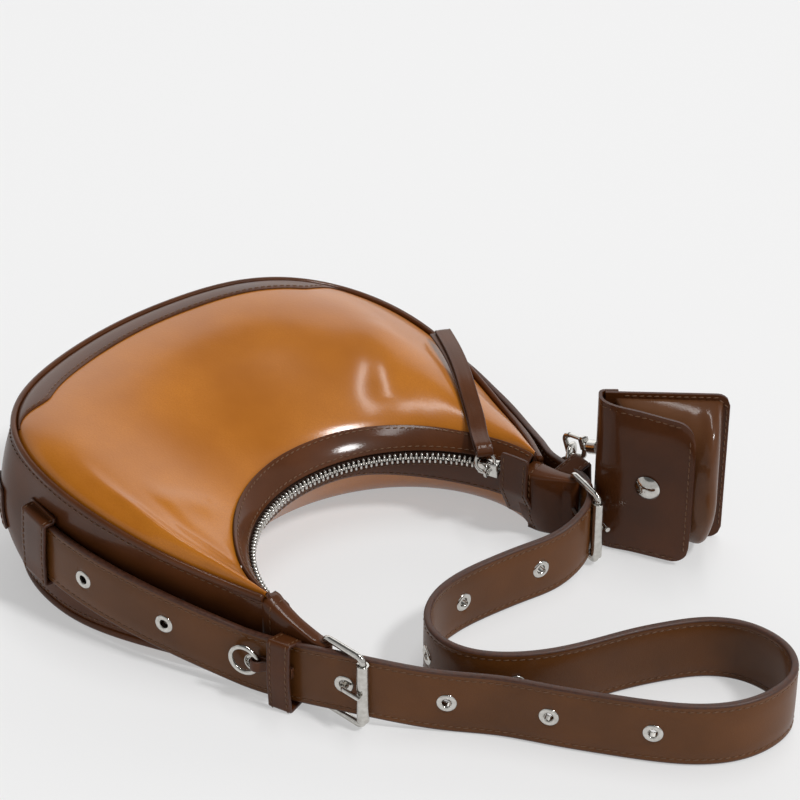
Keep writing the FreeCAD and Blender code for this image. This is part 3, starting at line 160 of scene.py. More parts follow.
# Edge paint is matt and brushed on, thread is waxed strands, and the metals are polished with faint wear
edgePaint = evenFinish("edge paint", {"deep": "#34190B", "light": "#4A2612", "mark": 1.5, "bump": 0.3,
                                      "rough": 0.5, "vary": 0.08})
thread = evenFinish("waxed thread", {"deep": "#50331C", "light": "#714D2E", "mark": 0.3, "bump": 0.5,
                                     "rough": 0.55, "vary": 0.1})
nickel = evenFinish("polished nickel", {"deep": "#BDBAB4", "light": "#D3D1CC", "mark": 2.0, "bump": 0.004,
                                        "rough": 0.14, "vary": 0.04}, metallic=1.0)
zipMetal = evenFinish("zip nickel", {"deep": "#B9B6B0", "light": "#D6D4CF", "mark": 0.8, "bump": 0.02,
                                     "rough": 0.24, "vary": 0.06}, metallic=1.0)
tapeCloth = cloth("zip tape", "#4A3123", "#24160F", 0.5)
liningCloth = cloth("lining cloth", "#6B4C33", "#3A2719", 0.4)

# Materials of face and rim, with the slot
tan = ([tanLeather, edgePaint], "tan_leather")
dark = ([darkLeather, edgePaint], "dark_leather")
taped = ([tapeCloth, tapeCloth], "zip_tape")
lined = ([liningCloth, liningCloth], "lining_cloth")
silver = ([nickel], "silver_metal")
print("materials made")


# Building blocks

def mix(first, last, share):
    return first + (last - first) * share


def eased(share):
    share = min(1.0, max(0.0, share))
    return share * share * (3 - 2 * share)


def gridMesh(place, across, along, paint=None):
    bm = bmesh.new()
    bmesh.ops.create_grid(bm, x_segments=across, y_segments=along, size=0.5)
    if paint:
        for face in bm.faces:
            middle = face.calc_center_median()
            face.material_index = paint(middle.x + 0.5, middle.y + 0.5)
    for vert in bm.verts:
        vert.co = place(vert.co.x + 0.5, vert.co.y + 0.5)
    return bm


def meshFrom(name, bm):
    mesh = bpy.data.meshes.new(name)
    bm.to_mesh(mesh)
    bm.free()
    return mesh


def addObject(name, data):
    thing = bpy.data.objects.new(name, data)
    bpy.context.scene.collection.objects.link(thing)
    return thing


def addPiece(name, bm, body, materials, slot, replaced=()):
    bmesh.ops.scale(bm, vec=(milli, milli, milli), verts=bm.verts)
    mesh = meshFrom(name, bm)
    for material in materials:
        mesh.materials.append(material)
    mesh.shade_smooth()
    piece = addObject(name, mesh)
    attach(piece, body)
    if replaced:
        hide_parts(*replaced)
    return piece


def addThickness(piece, thickness, soft=0.4):
    solid = piece.modifiers.new("Thickness", "SOLIDIFY")
    solid.thickness = thickness * milli
    solid.offset = -1
    solid.material_offset_rim = 1
    edge = piece.modifiers.new("Soft edge", "BEVEL")
    edge.width = min(soft, thickness * 0.45) * milli
    edge.segments = 2
    edge.limit_method = "ANGLE"
    edge.angle_limit = radians(50)
    edge.harden_normals = True


# A thin piece whose face comes from place(across, along); flip turns its outer face over
def sheetPiece(name, body, place, counts, thickness, materials, slot, replaced=(), flip=False, soft=0.4):
    bm = gridMesh(place, *counts)
    if flip:
        bmesh.ops.reverse_faces(bm, faces=bm.faces)
    piece = addPiece(name, bm, body, materials, slot, replaced)
    addThickness(piece, thickness, soft)
    return piece


# Points round a flat bar, with a stitched groove near both edges of its two faces
def flatSection(width, thickness, corner, row=0.0, groove=0.0, crown=0.0):
    half, deep = width / 2, thickness / 2
    steps = [(corner, 0.0)]
    if row:
        steps += [(row - 0.8, 0.0), (row, groove), (row + 0.8, 0.0)]
    steps += [(mix(steps[-1][0], half, 0.45), -crown * 0.7), (half, -crown)]
    face = [(d - half, deep - drop) for d, drop in steps]
    face += [(-a, b) for a, b in reversed(face[:-1])]
    slant = corner * 0.29
    rim = [(half - slant, deep - slant), (half, deep - corner), (half, corner - deep), (half - slant, slant - deep)]
    points = face + rim + [(-a, -b) for a, b in face] + [(-a, -b) for a, b in rim]
    return points, len(face)


# A grid closed to a tube, with its open ends filled
def tubeMesh(place, last, around, paint=None):
    bm = gridMesh(place, last, around, paint)
    bmesh.ops.remove_doubles(bm, verts=bm.verts, dist=1e-3)
    bmesh.ops.holes_fill(bm, edges=[e for e in bm.edges if e.is_boundary], sides=0)
    bmesh.ops.recalc_face_normals(bm, faces=bm.faces)
    return bm


# A bar swept along frames of point, across and lift; its narrow sides take the second material
def barPiece(name, body, frames, section, materials, slot, replaced):
    points, faceCount = section
    around, last = len(points), len(frames) - 1

    def place(s, t):
        point, across, lift = frames[round(s * last)]
        a, b = points[round(t * around) % around]
        return point + across * a + lift * b

    def paint(s, t):
        return int(int(t * around) % (around // 2) >= faceCount - 1)

    return addPiece(name, tubeMesh(place, last, around, paint), body, materials, slot, replaced)


# Cuts the corners of a path until it is round
def roundPath(points, rounds=3, closed=False):
    for _ in range(rounds):
        pairs = list(zip(points, points[1:] + points[:1])) if closed else list(zip(points, points[1:]))
        cut = [p for a, b in pairs for p in (a.lerp(b, 0.25), a.lerp(b, 0.75))]
        points = cut if closed else [points[0]] + cut + [points[-1]]
    return points + points[:1] if closed else points


# A smooth curve through points, sampled evenly by length
def smoothPath(points, count):
    knots = numpy.array(points, float)
    at = numpy.concatenate([[0], numpy.cumsum(numpy.linalg.norm(numpy.diff(knots, axis=0), axis=1))])
    gap, size = numpy.diff(at), len(knots)
    system, right = numpy.eye(size), numpy.zeros((size, 3))
    for i in range(1, size - 1):
        system[i, i - 1:i + 2] = gap[i - 1], 2 * (gap[i - 1] + gap[i]), gap[i]
        right[i] = 6 * ((knots[i + 1] - knots[i]) / gap[i] - (knots[i] - knots[i - 1]) / gap[i - 1])
    bend = numpy.linalg.solve(system, right)
    fine = numpy.linspace(0, at[-1], 20 * size)
    span = numpy.clip(numpy.searchsorted(at, fine, "right") - 1, 0, size - 2)
    a = ((at[span + 1] - fine) / gap[span])[:, None]
    b, h = 1 - a, gap[span][:, None]
    curve = a * knots[span] + b * knots[span + 1]
    curve += ((a ** 3 - a) * bend[span] + (b ** 3 - b) * bend[span + 1]) * h * h / 6
    run = numpy.concatenate([[0], numpy.cumsum(numpy.linalg.norm(numpy.diff(curve, axis=0), axis=1))])
    even = numpy.linspace(0, run[-1], count + 1)
    return [Vector([float(numpy.interp(d, run, curve[:, k])) for k in range(3)]) for d in even], float(run[-1])


def runs(path, closed=False):
    last = len(path) - 1
    result = []
    for i in range(last + 1):
        before = path[i - 1] if i else (path[last - 1] if closed else path[0])
        after = path[i + 1] if i < last else (path[1] if closed else path[last])
        result.append((after - before).normalized())
    return result


# Stitches

stitch = {"pitch": 3.3, "length": 2.5, "thread": 0.62}


# Copies of one small shape, one at each seat
def repeated(shape, seats):
    shape.verts.index_update()
    corners = [v.co.copy() for v in shape.verts]
    loops = [[v.index for v in face.verts] for face in shape.faces]
    shape.free()
    copies = bpy.data.meshes.new("copies")
    copies.from_pydata([seat @ corner for seat in seats for corner in corners], [],
                       [[i + n * len(corners) for i in loop] for n in range(len(seats)) for loop in loops])
    bm = bmesh.new()
    bm.from_mesh(copies)
    bpy.data.meshes.remove(copies)
    return bm


def stitchSeats(trail):
    seats = []
    passed, due = 0.0, stitch["pitch"] / 2
    for (point, normal), (following, _) in zip(trail, trail[1:]):
        step = (following - point).length
        while step > 0 and passed + step >= due:
            spot = point.lerp(following, (due - passed) / step)
            run = (following - point).normalized()
            side = normal.cross(run).normalized()
            run = (run + side * 0.12).normalized()
            axes = Matrix((side * stitch["thread"] / 2, normal * stitch["thread"] / 2, run * stitch["length"] / 2))
            seats.append(Matrix.Translation(spot + normal * 0.08) @ axes.transposed().to_4x4())
            due += stitch["pitch"]
        passed += step
    return seats


# A trail of points and normals over a placed sheet, from one (across, along) share to another
def sheetTrail(place, ends, count=160, side=1.0):
    trail = []
    for i in range(count + 1):
        s, t = ends(i / count)
        point = place(s, t)
        a = place(min(s + 0.004, 1), t) - place(max(s - 0.004, 0), t)
        b = place(s, min(t + 0.01, 1)) - place(s, max(t - 0.01, 0))
        trail.append((point, a.cross(b).normalized() * side))
    return trail


def stitchPiece(name, body, trails):
    shape = bmesh.new()
    bmesh.ops.create_uvsphere(shape, u_segments=6, v_segments=4, radius=1.0)
    seats = [seat for trail in trails for seat in stitchSeats(trail)]
    return addPiece(name, repeated(shape, seats), body, [thread], "dark_leather")


# Shape of the bag about the centre of the mouth arc: angles in degrees from +Y towards +X

bag = {"setback": 140.0, "mouthRadius": 74.0, "mouthHeight": 33.5, "bottomRadius": 194.0, "hornRadius": 60.5,
       "arc": 18.7, "taper": 41.8, "ends": (-85.0, 80.0), "height": 71.5, "hornHeights": (40.0, 35.0),
       "shoulders": (30.0, 6.0), "fall": 30.0, "slump": (11.0, 58.0, 14.0), "crown": 12.0, "crownTaper": 0.7,
       "leather": 1.6, "band": 1.4, "armRise": (3.6, -62.0, 15.0), "bandReach": (8.0, 14.0), "pinch": (3.5, 4.5)}


def bagPoint(angle, radius, height):
    turn = radians(angle)
    return Vector((radius * sin(turn), radius * cos(turn) - bag["setback"], height))


def restRadius(angle):
    turn = max(0.0, abs(angle) - bag["arc"]) / bag["taper"]
    return bag["hornRadius"] + (bag["bottomRadius"] - bag["hornRadius"]) / (1 + turn ** 3)


# The outline is drawn in at the horns
def outlineRadius(angle):
    return restRadius(angle) - bag["pinch"][int(angle >= 0)] * eased((abs(angle) - 60) / 20)


def bell(angle, height, middle, spread):
    return height * exp(-((angle - middle) / spread) ** 2)


def restHeight(angle):
    side = int(angle >= 0)
    horn = bag["hornHeights"][side]
    turn = max(0.0, abs(angle) - bag["shoulders"][side]) / bag["fall"]
    return horn + (bag["height"] - horn) / (1 + turn ** 3) - bell(angle, *bag["slump"])


def seamHeight(angle):
    return restHeight(angle) + bell(angle, *bag["armRise"])


def edgeNormal(angle):
    before, after = [bagPoint(a, outlineRadius(a), 0) for a in (angle - 0.05, angle + 0.05)]
    run = after - before
    return Vector((-run.y, run.x, 0)).normalized()


def edgePoint(angle, out, height):
    return bagPoint(angle, outlineRadius(angle), height) + edgeNormal(angle) * out


def panelWidth(angle):
    return outlineRadius(angle) - bag["mouthRadius"]


def bandRadius(angle):
    reach = mix(*bag["bandReach"], eased((angle + 60) / 60))
    return bag["mouthRadius"] + panelWidth(angle) * reach / (panelWidth(angle) + reach)


def bandHeight(angle):
    lean = (seamHeight(angle) - bag["mouthHeight"]) / (bag["height"] - bag["mouthHeight"])
    return bag["mouthHeight"] + 11 * (0.7 + 0.3 * lean)


def angleAt(s):
    return mix(bag["ends"][0], bag["ends"][1], s)


# Front panel: bulged leather, tucked in at its seam, with soft folds that run into the left horn

folds = [  # angle and share along each fold, half width and height in millimetres
    (((-51, 0.48), (-49, 0.66), (-45, 0.84), (-38, 1.10)), 6.0, 1.5),
    (((-42, 0.18), (-55, 0.27), (-65, 0.25), (-75, 0.27), (-90, 0.36)), 5.5, 2.2),
    (((-54, 0.46), (-60, 0.70), (-68, 1.00)), 6.0, -1.3),
    (((40, -0.20), (35.6, 0.35), (34.8, 0.53), (33.4, 0.73), (31.8, 0.90), (29.0, 1.25)), 9.0, 2.2),
    (((44, 0.40), (58, 0.42), (74, 0.45)), 7.0, 0.8)]
foldStretch = 1.65        # millimetres in a degree at the arms


def foldHeight(angle, share):
    total = 0.0
    width = panelWidth(angle)
    for line, half, height in folds:
        if not min(line)[0] - 12 < angle < max(line)[0] + 12:
            continue
        near, at = 1e9, 0.0
        for i, ((a, b), (c, d)) in enumerate(zip(line, line[1:])):
            run = Vector(((c - a) * foldStretch, (d - b) * width))
            gap = Vector(((angle - a) * foldStretch, (share - b) * width))
            along = min(1.0, max(0.0, gap.dot(run) / run.dot(run)))
            if (gap - run * along).length < near:
                near, at = (gap - run * along).length, (i + along) / (len(line) - 1)
        total += height * exp(-(near / half) ** 2) * eased(at * 3) * eased((1 - at) * 3)        # fades at both ends
    return total


panel = {"seam": 2.3, "overBand": 0.7, "tucks": (1.3, 0.9), "tuckWidth": 2.2, "waves": 0.22}


def panelPoint(angle, share, lift=0.0):
    outer = edgePoint(angle, -panel["seam"], 0)
    inner = bagPoint(angle, bandRadius(angle) + panel["overBand"], 0)
    width = panelWidth(angle)
    # the left side is fuller near its seam and the right side near the mouth
    lean = share ** (mix(0.75, 1.0, eased((angle + 45) / 35)) + 0.35 * eased((angle - 28) / 15))
    fullness = (width / (bag["bottomRadius"] - bag["mouthRadius"])) ** bag["crownTaper"]
    rise = bag["crown"] * fullness * 4 * lean * (1 - lean)
    tuck = sum(deep * exp(-part * width / panel["tuckWidth"]) for deep, part in zip(panel["tucks"], (share, 1 - share)))
    hold = min(1.0, min(share, 1 - share) * 8)
    waves = panel["waves"] * noise.noise(Vector((angle * 0.06, share * width * 0.035, 1.7)))
    height = mix(seamHeight(angle), bandHeight(angle), share) + rise - tuck + hold * (foldHeight(angle, share) + waves)
    return outer.lerp(inner, share) + up * (height + lift)


def panelFace(s, t):
    return panelPoint(angleAt(s), t)


sheetPiece("frontPanel", "bag", panelFace, (220, 64), bag["leather"], *tan,
           ["front_panel"], flip=True)

patch = {"start": -36.5, "end": 30.5, "depth": 15.5, "tip": 1.0, "ogee": 8.0, "row": 2.2}


def patchDepth(s):
    near = min(1.0, min(s, 1 - s) * (patch["end"] - patch["start"]) / patch["ogee"])
    return patch["tip"] + (patch["depth"] - patch["tip"]) * eased(near)


def patchFace(s, t):
    angle = mix(patch["start"], patch["end"], s)
    share = t * patchDepth(s) / panelWidth(angle)
    return panelPoint(angle, share, 1.0 - 0.5 * exp(-(1 - t) * patchDepth(s) / 1.2))


sheetPiece("bottomPatch", "bag", patchFace, (150, 16), 1.0, *dark,
           ["front_bottom_patch"], flip=True)


def patchRow(i):
    s = mix(0.05, 0.95, i)
    return s, max(0.1, 1 - patch["row"] / patchDepth(s))


stitchPiece("patchStitches", "bag", [sheetTrail(patchFace, patchRow, side=-1.0)])
print("front panel and patch made")


# Back panel: flat on the floor, then up to the back mouth band; the left arm stands a little off the floor

backLift = {"height": 4.0, "from": -48.0, "over": 18.0}
backRoll = {"drop": 15.8, "rolled": 10.5, "at": 10.0, "spread": (70.0, 32.0)}
backRise = {"foot": 27.0, "at": 0.6, "clear": 0.05}
bandEdge = {"radius": 75.6, "front": 36.2, "back": 30.8}        # edges of the mouth bands beside the zip


# Lower edge of the back mouth band, which is rolled under in the middle of the mouth
def backEdge(angle):
    width = panelWidth(angle)
    spread = backRoll["spread"][int(angle >= backRoll["at"])]
    drop = backRoll["drop"] - bell(angle, backRoll["rolled"], backRoll["at"], spread)
    reach = bag["mouthRadius"] + width * 6 / (0.9 * width + 6)
    return mix(bandEdge["radius"], reach, drop / backRoll["drop"]), bandEdge["back"] - drop


def liftAt(angle):
    return backLift["height"] * eased((backLift["from"] - angle) / backLift["over"])


def footRadius(angle):
    width = panelWidth(angle)
    return bag["mouthRadius"] + width * backRise["foot"] / (0.75 * width + backRise["foot"])


def backFace(s, t):
    angle = angleAt(s)
    head, top = backEdge(angle)
    outer = edgePoint(angle, -panel["seam"], 0)
    flat = bagPoint(angle, footRadius(angle), 0)
    if t < backRise["at"]:
        return outer.lerp(flat, t / backRise["at"]) + up * (backRise["clear"] + liftAt(angle))
    rise = (t - backRise["at"]) / (1 - backRise["at"])
    height = backRise["clear"] + (top + 0.5) * rise ** 1.5 + liftAt(angle) * (1 - rise)
    return flat.lerp(bagPoint(angle, head + 1.7, 0), rise) + up * height


sheetPiece("backPanel", "bag", backFace, (150, 40), bag["leather"], *tan, ["back_panel"])

# Linings: cloth just inside the two panels

lining = {"setback": 15.0, "cloth": 0.5, "frontCut": (0.236, 0.170), "frontArea": 0.0249, "backCut": (0.226, 0.157),
          "backArea": 0.0211}        # crescents, cut in metres and square metres


def liningAngle(s):
    return mix(bag["ends"][0] + lining["setback"], bag["ends"][1] - lining["setback"], s)


def frontLining(s, t):
    return panelPoint(liningAngle(s), mix(0.06, 0.94, t), -bag["leather"] - 0.6)


def backLining(s, t):
    angle = liningAngle(s)
    return edgePoint(angle, -6, 0).lerp(bagPoint(angle, footRadius(angle) + 1, 0), t) + up * (2.6 + liftAt(angle))


frontCloth = sheetPiece("frontLining", "bag", frontLining, (120, 30), lining["cloth"], *lined, ["lining_front"])
backCloth = sheetPiece("backLining", "bag", backLining, (120, 30), lining["cloth"], *lined, ["lining_back"], flip=True)

# Seam bindings and the gusset between them

binding = {"width": 2.8, "height": 3.2, "proud": 0.8}


def bindingFrames(level, count=220):
    frames = []
    for i in range(count + 1):
        angle = angleAt(i / count)
        frames.append((edgePoint(angle, binding["proud"] - binding["width"] / 2, level(angle)), edgeNormal(angle), up))
    return frames


bindingSection = flatSection(binding["width"], binding["height"], 1.1)
for label, level in (("front", lambda a: seamHeight(a) - 0.8), ("back", lambda a: 1.65 + liftAt(a))):
    barPiece(label + "Binding", "bag", bindingFrames(level), bindingSection, [darkLeather, darkLeather], "dark_leather",
             [label + "_seam_binding"])

gusset = {"low": 2.6, "row": 2.6, "slot": 3.3, "zipHeight": 35.0, "zipAngle": 35.0,
          "swells": ((-37.0, 5.8, 7.0, 8.0), (-66.0, 13.0, 13.0, -4.5), (60.0, 14.0, 14.0, -2.0))}


def seamTop(angle):
    return seamHeight(angle) - 1.6


def gussetLow(angle):
    return gusset["low"] + liftAt(angle)


# How far the gusset stands out of the seams: it bulges at the left shoulder and sags along both arms
def gussetOut(angle, height):
    low, high = gussetLow(angle), seamTop(angle)
    share = min(1.0, max(0.0, (height - low) / (high - low)))
    out = 0.35 * noise.noise(Vector((angle * 0.11, height * 0.05, 4.0)))
    for middle, before, after, size in gusset["swells"]:
        out += size * exp(-((angle - middle) / (before if angle < middle else after)) ** 2)
    return out * sin(pi * share) ** 0.8


def gussetFace(first, last, low, high):
    def place(s, t):
        angle = mix(first, last, s)
        bottom, top = low(angle), high(angle)
        height = mix(bottom, top, t)
        pinch = 0.5 * (exp(-(height - bottom) / 1.6) + exp(-(top - height) / 1.6))
        return edgePoint(angle, gussetOut(angle, height) - pinch, height)
    return place


zipLow, zipHigh = gusset["zipHeight"] - gusset["slot"], gusset["zipHeight"] + gusset["slot"]
gussetParts = [
    ("gussetLeft", "gusset_arm_left", bag["ends"][0], -gusset["zipAngle"], gussetLow, seamTop),
    ("gussetRight", "gusset_arm_right", gusset["zipAngle"], bag["ends"][1], gussetLow, seamTop),
    ("gussetFront", "gusset_front_strip", -gusset["zipAngle"], gusset["zipAngle"], lambda a: zipHigh, seamTop),
    ("gussetBack", "gusset_back_strip", -gusset["zipAngle"], gusset["zipAngle"], gussetLow, lambda a: zipLow)]
gussetTrails = []
for name, node, first, last, low, high in gussetParts:
    place = gussetFace(first, last, low, high)
    sheetPiece(name, "bag", place, (110, 24), bag["leather"], *dark, [node], flip=True)
    for near in (0, 1):
        def row(i):
            angle = mix(first, last, i)
            share = gusset["row"] / (high(angle) - low(angle))
            return i, 1 - share if near else share
        gussetTrails.append(sheetTrail(place, row, 220, side=-1.0))
stitchPiece("gussetStitches", "bag", gussetTrails)
print("panels, bindings and gusset made")

# Mouth bands, stitched along both edges

bandRow = 1.9


def frontBand(s, t):
    angle = angleAt(s)
    outer = bagPoint(angle, bandRadius(angle), bandHeight(angle) + 0.9)
    inner = bagPoint(angle, bandEdge["radius"], bandEdge["front"])
    turn = radians(angle)
    lean = (inner - outer).cross(Vector((cos(turn), -sin(turn), 0))).normalized()
    return outer.lerp(inner, t) + lean * (0.9 * sin(pi * t) ** 0.7)


def backBand(s, t):
    angle = angleAt(s)
    outer, inner = bagPoint(angle, bandEdge["radius"], bandEdge["back"]), bagPoint(angle, *backEdge(angle))
    towards = bagPoint(angle, 0, 0) - bagPoint(angle, 1, 0)
    return outer.lerp(inner, t) + towards * (0.7 * sin(pi * t) ** 0.7)


def bandTrail(place, near):
    def row(i):
        share = min(0.45, bandRow / (place(i, 0) - place(i, 1)).length)
        return i, 1 - share if near else share
    return sheetTrail(place, row, 200, side=-1.0)


bands = (("frontBand", frontBand, "front_mouth_band"), ("backBand", backBand, "back_mouth_band"))
for name, place, node in bands:
    sheetPiece(name, "bag", place, (200, 12), bag["band"], *dark, [node], flip=True)
stitchPiece("bandStitches", "bag", [bandTrail(place, near) for _, place, _ in bands for near in (0, 1)])

# Zips: tapes and teeth as bevelled blocks that interlock; the stops keep the imported shape

zipper = {"pitch": 2.5, "width": 1.15, "depth": 2.4, "height": 2.9, "lap": 1.0, "mouth": (-77.0, 73.0),
          "bottom": (-33.0, 33.0)}
tape = {"cloth": 0.8, "mouth": ((75.0, 78.4), (0.4, 3.0)), "past": 2, "bottom": (0.4, 9.5), "ends": (-34.8, 34.8),
        "sunk": 3.0}


def mouthTape(way):
    def place(s, t):
        angle = mix(zipper["mouth"][0] - tape["past"], zipper["mouth"][1] + tape["past"], s)
        radius, rise = [mix(*ends, t) for ends in tape["mouth"]]
        return bagPoint(angle, radius, bag["mouthHeight"] + way * rise)
    return place


def bottomTape(way):
    def place(s, t):
        angle = mix(*tape["ends"], s)
        height = gusset["zipHeight"] + way * mix(*tape["bottom"], t)
        return edgePoint(angle, gussetOut(angle, height) - tape["sunk"], height)
    return place


for label, way in (("Front", 1), ("Back", -1)):
    for part, face in (("mouth", mouthTape(way)), ("bottom", bottomTape(way))):
        sheetPiece(part + "Tape" + label, "bag", face, (150, 6), tape["cloth"], *taped,
                   [part + "_tape_" + label.lower()], flip=way < 0, soft=0.2)


def mouthLine(angle):
    return bagPoint(angle, bag["mouthRadius"], bag["mouthHeight"])


def bottomLine(angle):
    return edgePoint(angle, gussetOut(angle, gusset["zipHeight"]) - 1.6, gusset["zipHeight"])


def addTeeth(name, first, last, line, way, node):
    tooth = bmesh.new()
    size = Matrix.Diagonal((zipper["width"], zipper["depth"], zipper["height"], 1))
    bmesh.ops.create_cube(tooth, size=1.0, matrix=size)
    bmesh.ops.bevel(tooth, geom=tooth.edges[:], affect="EDGES", offset=0.35, segments=1, profile=0.5, material=-1)
    turn = degrees(zipper["pitch"] / (line(0) - bagPoint(0, 0, line(0).z)).length)
    rise = up * (way * (zipper["height"] - zipper["lap"]) / 2)
    seats = []
    for i in range(int((last - first) / turn)):
        angle = first + (i + (0.75 if way < 0 else 0.25)) * turn
        seats.append(Matrix.Translation(line(angle) + rise) @ Matrix.Rotation(radians(-angle), 4, "Z"))
    return addPiece(name, repeated(tooth, seats), "bag", [zipMetal], "zip_metal", [node])


for label, way in (("Front", 1), ("Back", -1)):
    for part, ends, line in (("mouth", zipper["mouth"], mouthLine), ("bottom", zipper["bottom"], bottomLine)):
        addTeeth(part + "Teeth" + label, *ends, line, way, part + "_teeth_" + label.lower())
print("mouth bands and zips made")


# Leather tabs over the ends of both zips

# What a round corner takes off, at a gap into the corner
def cornerCut(gap, corner):
    return corner - sqrt(max(0.0, corner ** 2 - gap ** 2)) if gap > 0 else 0.0


# Half height of a strip with round corners, a share of the way along it
def cornered(share, half, length, corner):
    return half - cornerCut(corner - min(share, 1 - share) * length, corner)


zipTab = {"corner": 1.5, "row": 1.8, "recede": 0.5, "knee": 25.0, "radius": 71.6, "bow": 0.8, "arc": 71.0}


def mouthTab(end, way, width, past, low, high):
    middle = end - way * degrees((width / 2 - past) / bag["mouthRadius"])
    def place(s, t):
        angle = middle + (s - 0.5) * degrees(width / zipTab["arc"])
        half = cornered(s, (high - low) / 2, width, zipTab["corner"])
        height = (low + high) / 2 + (t - 0.5) * 2 * half
        recede = zipTab["recede"] * max(0.0, zipTab["knee"] - height)        # follows the back band under the zip
        return bagPoint(angle, zipTab["radius"] - zipTab["bow"] * sin(pi * t) + recede, height)
    return place


tabTrails = []
for label, end, way, width, past, low, high in (("Left", bag["ends"][0], -1, 12.5, 2.0, 26.0, 37.5),
                                                ("Right", bag["ends"][1], 1, 14.5, 3.6, 8.0, 44.0)):
    place = mouthTab(end, way, width, past, low, high)
    sheetPiece("mouthTab" + label, "bag", place, (24, 24), bag["band"], *dark,
               ["mouth_tab_" + label.lower()])
    for s in (zipTab["row"] / width, 1 - zipTab["row"] / width):
        tabTrails.append(sheetTrail(place, lambda i: (s, mix(0.08, 0.92, i)), 40))

endPatch = {"length": 15.5, "height": 22.0, "from": 34.0, "corner": 2.0, "out": 1.5, "rows": (0.13, 0.87)}
for label, way in (("Left", -1), ("Right", 1)):
    def place(s, t):
        angle = way * (endPatch["from"] + s * degrees(endPatch["length"] / bag["bottomRadius"]))
        half = cornered(s, endPatch["height"] / 2, endPatch["length"], endPatch["corner"])
        height = gusset["zipHeight"] + (t - 0.5) * 2 * half
        return edgePoint(angle, endPatch["out"] + gussetOut(angle, height), height)
    sheetPiece("endPatch" + label, "bag", place, (24, 20), bag["band"], *dark,
               ["bottom_end_patch_" + label.lower()], flip=way > 0)
    for s in endPatch["rows"]:
        tabTrails.append(sheetTrail(place, lambda i: (s, mix(0.08, 0.92, i)), 40, side=-float(way)))
stitchPiece("tabStitches", "bag", tabTrails)

# Mouth slider: a bevelled body with lips over the teeth and an arch that holds the pull ring

slider = {"axis": (63.14, -112.68, 33.5), "angle": 66.6, "back": 3.5, "body": (10.0, 2.2, 7.4), "lip": (9.4, 4.6, 1.3),
          "plate": (9.6, 1.2, 7.0), "arch": 3.0, "wire": 0.8}
ring = {"radius": 4.4, "wire": 0.85, "lean": 0.5}


# A round wire bent about an axis through centre, from centre + start
def wireLoop(bm, centre, axis, start, wire, turn, steps):
    side = axis.cross(start).normalized()
    seat = Matrix((axis, start.normalized(), side)).transposed().to_4x4()
    seat.translation = centre + start
    verts = bmesh.ops.create_circle(bm, segments=12, radius=wire, matrix=seat)["verts"]
    lines = list(dict.fromkeys(e for v in verts for e in v.link_edges))
    bmesh.ops.spin(bm, geom=verts + lines, cent=centre, axis=axis, angle=turn, steps=steps, use_merge=turn > pi * 1.5)


pullAxis = Vector(slider["axis"])
sliderTurn = radians(slider["angle"])
sliderRun = Vector((cos(sliderTurn), -sin(sliderTurn), 0))
inwards = Vector((-sin(sliderTurn), -cos(sliderTurn), 0))
sliderSeat = Matrix((sliderRun, inwards, up)).transposed().to_4x4()
sliderSeat.translation = pullAxis - inwards * slider["back"]
bm = bmesh.new()
lipLevel = slider["body"][2] / 2 - slider["lip"][2] / 2
for size, spot in ((slider["body"], (0, 1.0, 0)), (slider["lip"], (0, -1.3, lipLevel)),
                   (slider["lip"], (0, -1.3, -lipLevel)), (slider["plate"], (0, -4.1, 0))):
    block = bmesh.new()
    bmesh.ops.create_cube(block, size=1.0, matrix=Matrix.Translation(spot) @ Matrix.Diagonal((*size, 1)))
    for vert in block.verts:
        if vert.co.x < 0:
            vert.co.z *= 0.8        # the closing end is narrower
    bmesh.ops.bevel(block, geom=block.edges[:], affect="EDGES", offset=min(size) * 0.35, segments=3, profile=0.5,
                    material=-1)
    part = meshFrom("sliderPart", block)
    bm.from_mesh(part)
    bpy.data.meshes.remove(part)
wireLoop(bm, Vector((0, 1.8, 0)), Vector((-1, 0, 0)), up * slider["arch"], slider["wire"], pi, 16)
bmesh.ops.recalc_face_normals(bm, faces=bm.faces)
bmesh.ops.transform(bm, matrix=sliderSeat, verts=bm.verts)
addPiece("mouthSlider", bm, "mouth_slider", *silver, ["mouth_slider"])

# Leather puller: one strip folded round the pull ring, its two layers lying over the panel

puller = {"width": 7.8, "layer": 1.3, "row": 1.4, "lift": 0.75, "shift": 1.2, "fan": (0.3, 0.3, 0.5, 0.8, 1.3),
          "run": ((74.5, -92.0, 45.3), (82.0, -79.5, 49.0), (92.0, -63.0, 51.5), (101.5, -46.0, 51.9),
                  (111.0, -27.0, 50.4))}
pullRun = [Vector(p) for p in puller["run"]]
pullTurn = Vector((pullRun[0].x - pullAxis.x, pullRun[0].y - pullAxis.y, 0)).normalized()
pullSide = pullTurn.cross(up)
ringRise = (up + pullTurn * ring["lean"]).normalized()
ringFace = pullSide.cross(ringRise).normalized()        # points away from the panel
bm = bmesh.new()
wireLoop(bm, pullAxis + ringRise * ring["radius"], ringFace, ringRise * ring["radius"], ring["wire"], tau, 40)
bmesh.ops.recalc_face_normals(bm, faces=bm.faces)
addPiece("pullRing", bm, "zip_puller", *silver, ["pull_ring"])

